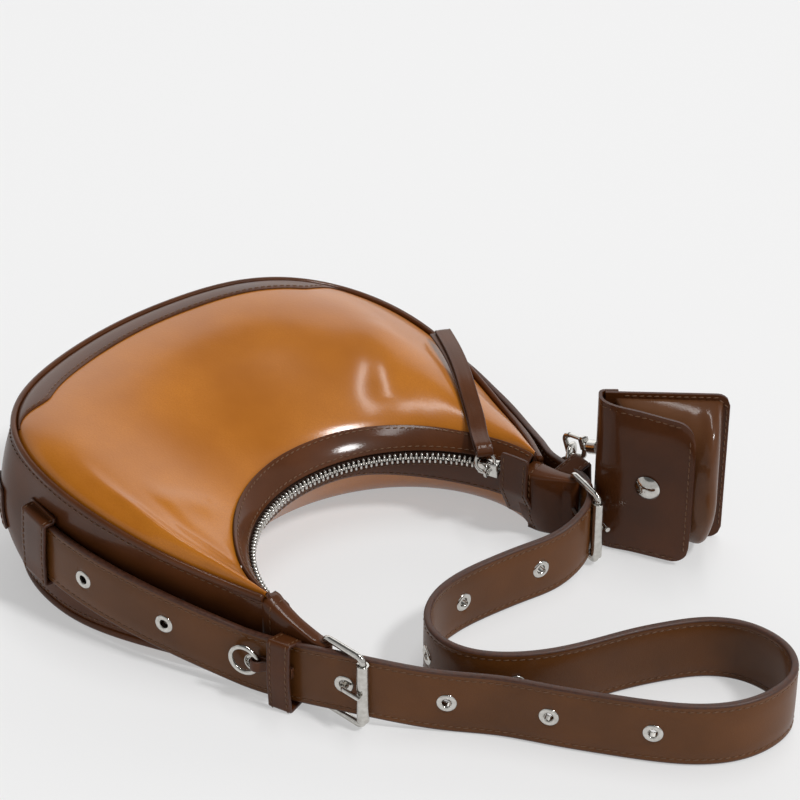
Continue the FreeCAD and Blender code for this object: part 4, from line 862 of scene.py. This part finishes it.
pullBar = pullAxis + ringRise * ring["radius"] * 2
clear = ring["wire"] + puller["layer"] / 2 + 0.15
ringFace = ringFace if ringFace.dot(pullTurn) < 0 else -ringFace
lower, upper = [[p + up * puller["lift"] * way + pullSide * (puller["shift"] + fan * way)
                 for p, fan in zip(pullRun, puller["fan"])] for way in (-1, 1)]
pullPoints = lower[::-1] + [pullBar + pullTurn * 5.5 + up * 0.6, pullBar - ringFace * clear, pullBar - ringRise * clear,
                            pullBar + ringFace * clear, pullBar + pullTurn * 4.5 + up * 3.2] + upper
pullPath = smoothPath(pullPoints, 170)[0]
pullFrames = []
for point, run in zip(pullPath, runs(pullPath)):
    level = Vector((run.x, run.y, 0))
    across = pullSide if abs(level.dot(pullTurn)) < 0.5 * level.length or level.length < 0.3 else \
        (level.cross(up).normalized() * (1 if level.dot(pullTurn) > 0 else -1))
    pullFrames.append((point, across, across.cross(run).normalized()))
barPiece("zipPuller", "zip_puller", pullFrames, flatSection(puller["width"], puller["layer"], 0.4, puller["row"], 0.12),
         *dark, ["leather_puller"])
pullTrails = []
for way in (-1, 1):
    pullTrails.append([(p + a * way * (puller["width"] / 2 - puller["row"]) - l * puller["layer"] / 2, -l)
                       for p, a, l in pullFrames[95:]])
stitchPiece("pullerStitches", "zip_puller", pullTrails)
print("tabs and puller made")

# Shoulder strap: one long bar on edge through both buckles

strap = {"width": 30.0, "thickness": 3.2, "corner": 0.9, "row": 2.7, "tails": ((-45.6, -80.0), (40.8, 75.0)),
         "out": 2.7, "low": 19.4, "loopHeight": 15.5, "eyelets": 43.0, "each": 7, "hole": 4.0, "tailDrop": 5.6,
         "steps": 520, "fold": (5.5, 22.0, 4.55), "prong": 12.04,
         "loop": ((-47.5, -66.5), (-33.0, -84.0), (-21.5, -102.0), (-9.0, -121.0), (2.0, -136.5), (15.5, -151.5),
                  (30.0, -160.5), (47.0, -163.5), (61.0, -160.0), (69.5, -150.5), (72.0, -138.0), (69.0, -124.5),
                  (60.5, -113.5), (47.0, -105.0), (30.0, -97.5), (12.0, -91.5), (-4.0, -85.0), (-18.0, -76.0),
                  (-28.5, -64.5), (-33.0, -52.0), (-31.0, -39.0), (-22.5, -28.5), (-9.5, -22.0), (5.0, -20.0),
                  (22.0, -21.0), (40.0, -23.5), (57.0, -25.5))}
horns = {"left": {"arm": (-78.58, -133.13, 0.0), "bar": (-74.50, -162.10, 0.0), "heading": 4.4, "way": -1.0,
                  "wrap": 28.0, "prong": 4, "angle": bag["ends"][0], "cuff": (4.9, 4.3, 43.2), "taper": (14.0, 26.0),
                  "foot": -0.3},
         "right": {"arm": (79.83, -125.92, 0.0), "bar": (88.24, -143.50, 0.0), "heading": -13.6, "way": 1.0,
                   "wrap": 48.0, "prong": 3, "angle": bag["ends"][1], "cuff": (6.9, 0.5, 35.4), "taper": (16.0, 18.0),
                   "foot": -0.25}}


def hornPlace(horn, along, out, height):
    turn = radians(horn["heading"])
    run = Vector((sin(turn), -cos(turn), 0))
    return Vector(horn["bar"]) + run * along + Vector((-run.y, run.x, 0)) * horn["way"] * out + up * height


def hornPoints(horn):
    wrap = radians(horn["wrap"])
    out, length, bend = strap["fold"]
    return [hornPlace(horn, 0, out, strap["low"]),
            hornPlace(horn, length - bend * sin(wrap), -bend * cos(wrap), strap["low"])]


# The left tail drops towards its buckle
def tailHeight(angle):
    drop = strap["tailDrop"] * max(0.0, (-angle - 48) / 32) ** 1.6
    return max(restHeight(angle) / 2 - drop, strap["loopHeight"])


def tailPoints(first, last):
    angles = [mix(first, last, i / 10) for i in range(11)]
    return [edgePoint(a, strap["out"] + restRadius(a) - outlineRadius(a), tailHeight(a)) for a in angles]


strapPoints = tailPoints(*strap["tails"][0]) + hornPoints(horns["left"])
strapPoints += [Vector((x, y - bag["setback"], strap["loopHeight"])) for x, y in strap["loop"]]
strapPoints += hornPoints(horns["right"])[::-1] + tailPoints(*strap["tails"][1])[::-1]
strapPath, strapLength = smoothPath(strapPoints, strap["steps"])
strapFrames = []
for point, run in zip(strapPath, runs(strapPath)):
    run = Vector((run.x, run.y, 0)).normalized()
    strapFrames.append((point, up, Vector((-run.y, run.x, 0))))
strapSection = flatSection(strap["width"], strap["thickness"], strap["corner"], strap["row"], 0.22, 0.12)
strapPiece = barPiece("strap", "bag", strapFrames, strapSection, [strapLeather, edgePaint], "dark_leather",
                      ["shoulder_strap"])


def nearestFrame(spot):
    return min(range(len(strapPath)), key=lambda i: (strapPath[i] - spot).length)


eyeletFrames = []
for label, step in (("left", 1), ("right", -1)):
    horn = horns[label]
    prongAt = nearestFrame(hornPlace(horn, strap["prong"], 0, strap["low"]))
    for index in range(strap["each"]):
        along = prongAt + (index + 1 - horn["prong"]) * step * strap["eyelets"] / strapLength * strap["steps"]
        eyeletFrames.append(strapFrames[round(along)])

eyeletSeats = [Matrix.Translation(point) @ normal.to_track_quat("Z", "Y").to_matrix().to_4x4()
               for point, _, normal in eyeletFrames]

# Holes for the eyelets go through the strap
cutter = bmesh.new()
bore = strap["hole"] / 2 + 0.3
for seat in eyeletSeats:
    bmesh.ops.create_cone(cutter, cap_ends=True, segments=24, radius1=bore, radius2=bore, depth=12.0, matrix=seat)
bmesh.ops.scale(cutter, vec=(milli, milli, milli), verts=cutter.verts)
cutPiece = addObject("strapHoles", meshFrom("strapHoles", cutter))
cut = strapPiece.modifiers.new("Holes", "BOOLEAN")
cut.object = cutPiece
cut.solver = "EXACT"
bpy.context.view_layer.update()
cutStrap = bpy.data.meshes.new_from_object(strapPiece.evaluated_get(bpy.context.evaluated_depsgraph_get()))
strapPiece.modifiers.clear()
strapPiece.data = cutStrap
bpy.data.objects.remove(cutPiece)

strapTrails = []
for edge in (-1, 1):
    for face in (-1, 1):
        row, rise = edge * (strap["width"] / 2 - strap["row"]), face * (strap["thickness"] / 2 - 0.2)
        strapTrails.append([(p + up * row + n * rise, n * face) for p, _, n in strapFrames])
stitchPiece("strapStitches", "bag", strapTrails)

# Eyelets: a domed ring on each face and a tube through the hole
dome = {"reach": 1.25, "rise": 0.8, "middle": 3.15}
eyelet = bmesh.new()
for face in (-1, 1):
    centre = up * face * (strap["thickness"] / 2 - 0.1)
    seat = Matrix.Translation(centre + Vector((dome["middle"], 0, 0))) @ Matrix.Rotation(pi / 2, 4, "X")
    rim = bmesh.ops.create_circle(eyelet, segments=12, radius=1.0,
                                  matrix=seat @ Matrix.Diagonal((dome["reach"], dome["rise"], 1, 1)))["verts"]
    lines = list(dict.fromkeys(e for v in rim for e in v.link_edges))
    bmesh.ops.spin(eyelet, geom=rim + lines, cent=centre, axis=up, angle=tau, steps=28, use_merge=True)
bmesh.ops.recalc_face_normals(eyelet, faces=eyelet.faces)
bore = strap["hole"] / 2 + 0.05
tube = bmesh.ops.create_cone(eyelet, cap_ends=False, segments=28, radius1=bore, radius2=bore,
                             depth=strap["thickness"])["verts"]
bmesh.ops.reverse_faces(eyelet, faces=list({f for v in tube for f in v.link_faces}))
addPiece("strapEyelets", repeated(eyelet, eyeletSeats), "bag", *silver, ["strap_eyelets"])
print("strap made, length in mm:", round(strapLength, 1))

# Horn cuffs: leather that closes the end of each arm and narrows to the fold round the buckle's bar

hornTab = {"half": 3.2, "low": 4.4, "high": 34.4, "over": 2.5, "corners": (2.4, 1.0), "knee": 16.0, "steps": 40,
           "row": 9}


def ringTrail(loop, along, middle):
    trail = []
    for point, run in zip(loop, runs(loop)):
        out = run.cross(along).normalized()
        trail.append((point, out if out.dot(point - middle) > 0 else -out))
    return trail


cuffTrails = []
for label, horn in horns.items():
    arm, bar = Vector(horn["arm"]), Vector(horn["bar"])
    turn = radians(horn["angle"])
    leave = Vector((cos(turn), -sin(turn), 0)) * horn["way"]        # how the arm runs into the cuff
    first, middle = arm - leave * hornTab["over"], arm + leave * (bar - arm).length * 0.35
    path = [first.lerp(middle, i / hornTab["steps"]).lerp(middle.lerp(bar, i / hornTab["steps"]), i / hornTab["steps"])
            for i in range(hornTab["steps"] + 1)]
    headings = runs(path)
    for turn in (15, 30, 45, 60, 75, 84):
        path.append(bar + headings[-1] * hornTab["half"] * sin(radians(turn)))
        headings.append(headings[-1])
    loops = []
    along = -hornTab["over"]
    for i, (point, run) in enumerate(zip(path, headings)):
        along += (point - path[i - 1]).length if i else 0.0
        close, drop = [min(1.0, max(0.0, along / length)) for length in horn["taper"]]
        half = mix(horn["cuff"][0], hornTab["half"], close)
        past = (point - bar).length if i > hornTab["steps"] else 0.0
        half = sqrt(max(0.05, half ** 2 - past ** 2))
        low, high = mix(horn["cuff"][1], hornTab["low"], drop), mix(horn["cuff"][2], hornTab["high"], drop)
        corner = min(mix(*hornTab["corners"], close), half * 0.7)
        across = Vector((-run.y, run.x, 0)).normalized()
        loop = []
        for a, b in flatSection(high - low, 2 * half, corner)[0]:
            height = (low + high) / 2 + a
            if b * horn["way"] < 0:        # the inner side leans out to the floor as the back panel does
                b *= mix(mix(horn["foot"], 1.0, eased(height / hornTab["knee"])), 1.0, close)
            loop.append(point + up * height + across * b)
        loops.append(loop)
    around, last = len(loops[0]), len(loops) - 1
    bm = tubeMesh(lambda s, t: loops[round(s * last)][round(t * around) % around], last, around)
    addPiece("hornTab" + label.capitalize(), bm, "bag", [darkLeather], "dark_leather", ["horn_tab_" + label])
    seam = loops[hornTab["row"]]
    cuffTrails.append(ringTrail(seam + seam[:1], headings[hornTab["row"]], sum(seam, Vector()) / around))
stitchPiece("cuffStitches", "bag", cuffTrails)

# Keepers: a leather loop round each horn, and one sewn over each tail of the strap

keeper = {"width": 11.0, "leather": 1.5, "row": 1.7, "bow": 1.0, "slope": 6.0, "out": 5.25, "slack": 1.2, "bend": 3.2,
          "tailWidth": 18.0, "tailAngles": (-46.0, 42.2), "tailOut": 5.3, "tailSlack": 0.5}
keeperPlaces = {"left": ((-84.9, -149.42, 20.19), (-0.316, 0.949, 0), (-0.949, -0.316, 0), -11.96),
                "right": ((95.39, -136.17, 18.94), (0.11, 0.994, 0), (0.994, -0.11, 0), -9.0)}
ringTab = {"bore": 2.0, "leather": 1.0, "height": 5.0, "reach": 11.0, "tail": 5.2, "out": 5.55,
           "heights": {"left": 20.0, "right": 27.0}, "back": (2.0, 3.8, 1.4, 1.1)}


def loopFrames(path, width, closed):
    frames = []
    for point, run in zip(path, runs(path, closed)):
        frames.append((point, width, width.cross(run).normalized()))
    return frames


# Rows near both edges of a keeper, on the face that points away from its middle
def keeperRows(frames, width, middle):
    point, _, lift = frames[len(frames) // 2]
    side = 1.0 if lift.dot(point - middle) > 0 else -1.0
    offset, rise = width / 2 - keeper["row"], side * (keeper["leather"] / 2 - 0.1)
    return [[(p + a * way * offset + l * rise, l * side) for p, a, l in frames] for way in (-1, 1)]


# Outline of a strip that runs to an eye, round it and back, as steps along and across
def eyeLine(mean, length, back):
    start, end, rise, lap = back
    return ((-length, -mean), (-start, -mean), (mean * 0.8, -mean * 0.9), (mean * 1.1, 0.0), (mean * 0.8, mean * 0.9),
            (-1.0, mean), (-end, -mean + rise), (-length, -mean + lap))


keeperTrails = []
for label, (spot, along, across, inner) in keeperPlaces.items():
    spot, along, across = Vector(spot), Vector(along), Vector(across)
    skin = keeper["leather"] / 2
    half, inner, outer = strap["width"] / 2 + keeper["slack"] + skin, inner - skin, keeper["out"] + skin
    level = strapPath[nearestFrame(spot)].z
    corners = [Vector((spot.x, spot.y, level)) + across * a + up * b for a, b in (
        (inner, -half), (outer, -half), (outer, half), (inner, half - keeper["slope"]))]
    # short steps before each corner keep the round small, and the outer face bows
    path = []
    for i, corner in enumerate(corners):
        before, after = corners[i - 1], corners[(i + 1) % 4]
        path += [corner + (before - corner).normalized() * keeper["bend"], corner,
                 corner + (after - corner).normalized() * keeper["bend"]]
        if i == 1:
            path.append(corner.lerp(after, 0.5) + across * keeper["bow"])
    path = roundPath(path, 3, True)
    frames = loopFrames(path, along, True)
    section = flatSection(keeper["width"], keeper["leather"], 0.4, keeper["row"], 0.12)
    barPiece("hornKeeper" + label.capitalize(), "bag", frames, section, *dark, ["horn_keeper_" + label])
    keeperTrails += keeperRows(frames, keeper["width"], sum(corners, Vector()) / 4)

    # Ring tab: a narrow strip that goes from the keeper round the ring and back
    axis = Vector((spot.x, spot.y, ringTab["heights"][label])) + along * ringTab["reach"] + across * ringTab["out"]
    tabPath = [axis + along * a + across * b for a, b in eyeLine(
        ringTab["bore"] + ringTab["leather"] / 2, ringTab["reach"] + ringTab["tail"], ringTab["back"])]
    tabFrames = loopFrames(roundPath(tabPath, 3), up, False)
    section = flatSection(ringTab["height"], ringTab["leather"], 0.3)
    barPiece("ringTab" + label.capitalize(), "bag", tabFrames, section, *dark, ["ring_tab_" + label])

for label, angle in zip(("left", "right"), keeper["tailAngles"]):
    out = edgeNormal(angle)
    before, middle, after = [edgePoint(a, 0, tailHeight(a)) for a in (angle - 1, angle, angle + 1)]
    along = (after - before).normalized()
    rise = along.cross(out)
    rise = rise if rise.z > 0 else -rise
    skin = keeper["leather"] / 2
    half, top = strap["width"] / 2 + keeper["tailSlack"] + skin, keeper["tailOut"] + skin
    profile = [(1.05, -half - 2.6), (1.05, -half - 0.6), (1.3, -half), (top - 1.2, -half), (top, -half + 0.4),
               (top, -half + 2.4)]
    profile += [(top + 0.5, 0.0)] + [(a, -b) for a, b in reversed(profile)]
    frames = loopFrames(roundPath([middle + out * a + rise * b for a, b in profile], 3), along, False)
    section = flatSection(keeper["tailWidth"], keeper["leather"], 0.4, keeper["row"], 0.12)
    barPiece("tailKeeper" + label.capitalize(), "bag", frames, section, *dark, ["tail_keeper_" + label])
    keeperTrails += keeperRows(frames, keeper["tailWidth"], middle)
stitchPiece("keeperStitches", "bag", keeperTrails)
print("horns and keepers made")

# Snap pouch: X from its top fold to its bottom, Y out of its front, Z up, as it stands on its side

pouch = {"corner": (101.0, -149.0, 0.2), "run": (0.7193, -0.6947, 0), "front": (-0.6947, -0.7193, 0), "length": 56.0,
         "width": 77.0, "margin": 3.0, "round": 6.0, "leather": 1.6, "row": 1.5}
pouchRun, pouchFront = Vector(pouch["run"]), Vector(pouch["front"])


def pouchPoint(x, y, z):
    return Vector(pouch["corner"]) + pouchRun * x + pouchFront * y + up * z


def pouchBack(s, t):
    x = s * pouch["length"]
    half = pouch["width"] / 2 - cornerCut(x - (pouch["length"] - pouch["round"]), pouch["round"])
    return pouchPoint(x, -pouch["leather"], pouch["width"] / 2 + (t - 0.5) * 2 * half)


sheetPiece("pouchBack", "pouch", pouchBack, (40, 30), pouch["leather"], *dark,
           ["pouch_back"], flip=True)

# Body: a puffy pocket that swells from the back, gathered at its ends
pocket = {"leather": 1.2, "line": ((4.0, 0.0), (5.5, 4.0), (9.0, 10.5), (13.0, 13.0), (26.0, 18.6), (38.0, 23.8),
                                   (44.0, 26.6), (47.2, 27.6), (49.4, 26.0), (51.0, 20.0), (52.0, 10.0), (53.0, 0.0))}
bodyPath = smoothPath([Vector((x, y, 0)) for x, y in pocket["line"]], 60)[0]


def pouchBody(s, t):
    spot = bodyPath[round(s * 60)]
    end = abs(2 * t - 1)
    slack = max(0.0, 1 - t / 0.45) ** 2        # the end on the floor is less full
    fullness = (1 - end ** 3.2) ** 0.6 if t > 0.5 else (1 - end ** 9) ** 0.4
    swell = fullness * (1 - 0.45 * slack)
    pinch = 0.97 + 0.03 * sqrt(1 - end ** 4) - 0.2 * slack
    z = pouch["margin"] + t * (pouch["width"] - 2 * pouch["margin"])
    crease = 1.2 * noise.noise(Vector((spot.x * 0.12, z * 0.05, 8.0)))
    crease += 0.3 * noise.noise(Vector((spot.x * 0.25, z * 0.11, 3.0)))
    fade = min(1.0, spot.y / 9) * min(1.0, max(0.0, (spot.x - 38) / 8))
    return pouchPoint(mix(30, spot.x, pinch), spot.y * swell + 1.5 * crease * fade, z)


# the pocket's leather has painted sheen and light in its lighter colour
sheetPiece("pouchBody", "pouch", pouchBody, (60, 48), pocket["leather"], [pouchSheenLeather, edgePaint], "dark_leather",
           ["pouch_body", "snap_stud"])

# Flap: on the real pouch it turns about the fold; here it is drawn closed, and its sewn root stays on the pouch's back
flap = {"line": ((-0.6, -3.4), (-2.4, -2.1), (-3.0, 0.1), (-3.0, 2.5), (-1.4, 6.7), (2.6, 10.3), (12.0, 14.4),
                 (26.0, 20.3), (39.5, 26.0)), "root": ((6.0, -3.4), (2.0, -3.3), (-0.5, -3.2)),
        "half": (38.5, 37.0), "corner": 9.0, "row": 2.2}
flapPath, flapLength = smoothPath([Vector((x, y, 0)) for x, y in flap["line"]], 70)
rootPath = smoothPath([Vector((x, y, 0)) for x, y in flap["root"]], 10)[0]


def flapRoot(s, t):
    spot = rootPath[round(s * 10)]
    return pouchPoint(spot.x, spot.y, pouch["width"] / 2 + (t - 0.5) * 2 * flap["half"][0])


sheetPiece("flapRoot", "pouch", flapRoot, (10, 48), pouch["leather"], *dark)


def pouchFlap(s, t):
    spot = flapPath[round(s * 70)]
    half = mix(*flap["half"], s) - cornerCut(flap["corner"] - (1 - s) * flapLength, flap["corner"])
    curl = 0.5 - 1.4 * abs(2 * t - 1) ** 6 * min(1.0, s * 2)
    return pouchPoint(spot.x, spot.y + curl, pouch["width"] / 2 + (t - 0.5) * 2 * half)


sheetPiece("pouchFlap", "pouch_flap", pouchFlap, (70, 48), pouch["leather"], *dark,
           ["pouch_flap"], soft=0.5)
inset = flap["row"] / (2 * flap["half"][1])
flapTrails = [sheetTrail(pouchFlap, lambda i: (mix(0.15, 0.86, i), t), 120) for t in (inset, 1 - inset)]
flapTrails.append(sheetTrail(pouchFlap, lambda i: (1 - flap["row"] / flapLength, mix(0.06, 0.94, i)), 90))
stitchPiece("flapStitches", "pouch_flap", flapTrails)

# Row that sews the pocket to the back
hem = [(mix(8, pouch["length"] - 6, i / 60), pouch["width"] - pouch["row"]) for i in range(61)]
hem += [(pouch["length"] - pouch["row"], mix(pouch["width"] - 6, 6, i / 80)) for i in range(81)]
stitchPiece("pouchStitches", "pouch", [[(pouchPoint(x, 0.05, z), pouchFront) for x, z in hem]])

# Tab on the pouch's back, round the bar of the swivel
pouchTab = {"eye": (4.0, -4.4, 44.5), "bore": 1.3, "leather": 1.2, "height": 4.6, "length": 18.0,
            "back": (1.5, 3.6, 1.5, 1.3)}
eye = Vector(pouchTab["eye"])
tabLine = eyeLine(pouchTab["bore"] + pouchTab["leather"] / 2, pouchTab["length"], pouchTab["back"])
tabFrames = loopFrames(roundPath([pouchPoint(eye.x - a, eye.y - b, eye.z) for a, b in tabLine], 3), up, False)
section = flatSection(pouchTab["height"], pouchTab["leather"], 0.3)
barPiece("pouchTab", "pouch", tabFrames, section, *dark, ["pouch_tab"])
print("pouch made")

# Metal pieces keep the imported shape
pairs = [part + end for part in ("buckle_frame", "buckle_roller", "buckle_prong", "ring")
         for end in ("_left", "_right")]
for name in ["mouth_zip_stops", "bottom_zip_stops", "bottom_slider", "bottom_pull", *pairs, "snap_cap", "hook_body",
             "hook_gate", "hook_swivel"]:
    nodes[name].data.materials.clear()
    nodes[name].data.materials.append(zipMetal if "zip" in name else nickel)
    "zip_metal" if "zip" in name else "silver_metal"

# Floor, camera and light

studio = {"floor": "#EEEEEE", "lift": 0.46, "camera": (-0.6209, -0.8258, 0.6889), "target": (0.1101, -0.0006, 0.0),
          "lens": 117.0, "sun": 1.7, "sunFrom": (0.205, -0.564, 0.80), "sunAngle": 9.0,
          "strip": ((0.61, -0.09, 2.42), (-0.45, -0.88, 0.08), 0.22, 1.5, 15.0),
          "behind": (0.68, 0.73, 0.0), "backdrop": 1.5, "overhead": 0.12, "front": 0.6,
          "ceilingFrom": (0.62, 0.72), "sweepFrom": (0.62, 0.8)}
floorMesh = bmesh.new()
bmesh.ops.create_grid(floorMesh, x_segments=1, y_segments=1, size=20.0)
floor = addObject("floor", meshFrom("floor", floorMesh))

# Paper sweep: matt, and half of its white is its own for the eye, so that the shadows stay light
paper, tree, _ = newMaterial("studio paper")
matt = addNode(tree, "BsdfDiffuse", {"Color": linear(studio["floor"])})
glow = addNode(tree, "Emission", {"Color": linear(studio["floor"]), "Strength": 1.0})
seen = addNode(tree, "LightPath", out="Is Camera Ray")
rays = seen.node.outputs
for other in ("Is Glossy Ray", "Is Transmission Ray"):
    seen = addNode(tree, "Math", {0: seen, 1: rays[other]}, operation="MAXIMUM")
share = addNode(tree, "Math", {0: seen, 1: studio["lift"]}, operation="MULTIPLY")
addNode(tree, "OutputMaterial", {0: addNode(tree, "MixShader", {0: share, 1: matt, 2: glow})})
floor.data.materials.append(paper)
floor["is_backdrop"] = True

camera = addObject("camera", bpy.data.cameras.new("camera"))
camera.data.lens = studio["lens"]
camera.location = studio["camera"]
camera.rotation_euler = (Vector(studio["target"]) - camera.location).to_track_quat("-Z", "Y").to_euler()
bpy.context.scene.camera = camera

sun = addObject("sun", bpy.data.lights.new("sun", "SUN"))
sun.data.energy = studio["sun"]
sun.data.angle = radians(studio["sunAngle"])
sun.rotation_euler = (-Vector(studio["sunFrom"])).to_track_quat("-Z", "Y").to_euler()

# A long narrow softbox that draws a streak on the tan leather
stripSpot, stripRun, stripWidth, stripLength, stripPower = studio["strip"]
strip = addObject("strip", bpy.data.lights.new("strip", "AREA"))
strip.data.shape = "RECTANGLE"
strip.data.size, strip.data.size_y = stripWidth, stripLength
strip.data.energy = stripPower
stripBack = Vector(stripSpot).normalized()
stripSide = Vector(stripRun).cross(stripBack).normalized()
strip.matrix_world = Matrix((stripSide, stripBack.cross(stripSide), stripBack)).transposed().to_4x4()
strip.location = stripSpot

# World: a bright sweep behind the bag up to 40 degrees, a dim ceiling and a dim room on the camera's side
world = bpy.data.worlds.new("studio")
bpy.context.scene.world = world
world.use_nodes = True
tree = world.node_tree
way = addNode(tree, "TexCoord", out="Generated")
height = addNode(tree, "SeparateXYZ", {0: way}, "Z")
behind = addNode(tree, "VectorMath", {0: way, 1: studio["behind"]}, "Value", operation="DOT_PRODUCT")
ceiling, sweep = [addNode(tree, "MapRange", {
    "Value": value, "From Min": first, "From Max": last, "To Min": low, "To Max": high},
    interpolation_type="SMOOTHSTEP") for value, (first, last), low, high in (
        (height, studio["ceilingFrom"], 0.0, 1.0), (behind, studio["sweepFrom"], studio["front"], studio["backdrop"]))]
level = addNode(tree, "Mix", {0: ceiling, 2: sweep, 3: studio["overhead"]}, data_type="FLOAT")
tree.nodes["Background"].inputs["Color"].default_value = linear("#FFFFFF")
tree.links.new(level, tree.nodes["Background"].inputs["Strength"])
bpy.context.scene.view_settings.view_transform = "Standard"

low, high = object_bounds()
{"cad": [list(cadLow), list(cadHigh)], "visual": [list(low), list(high)]}
print("scene made")
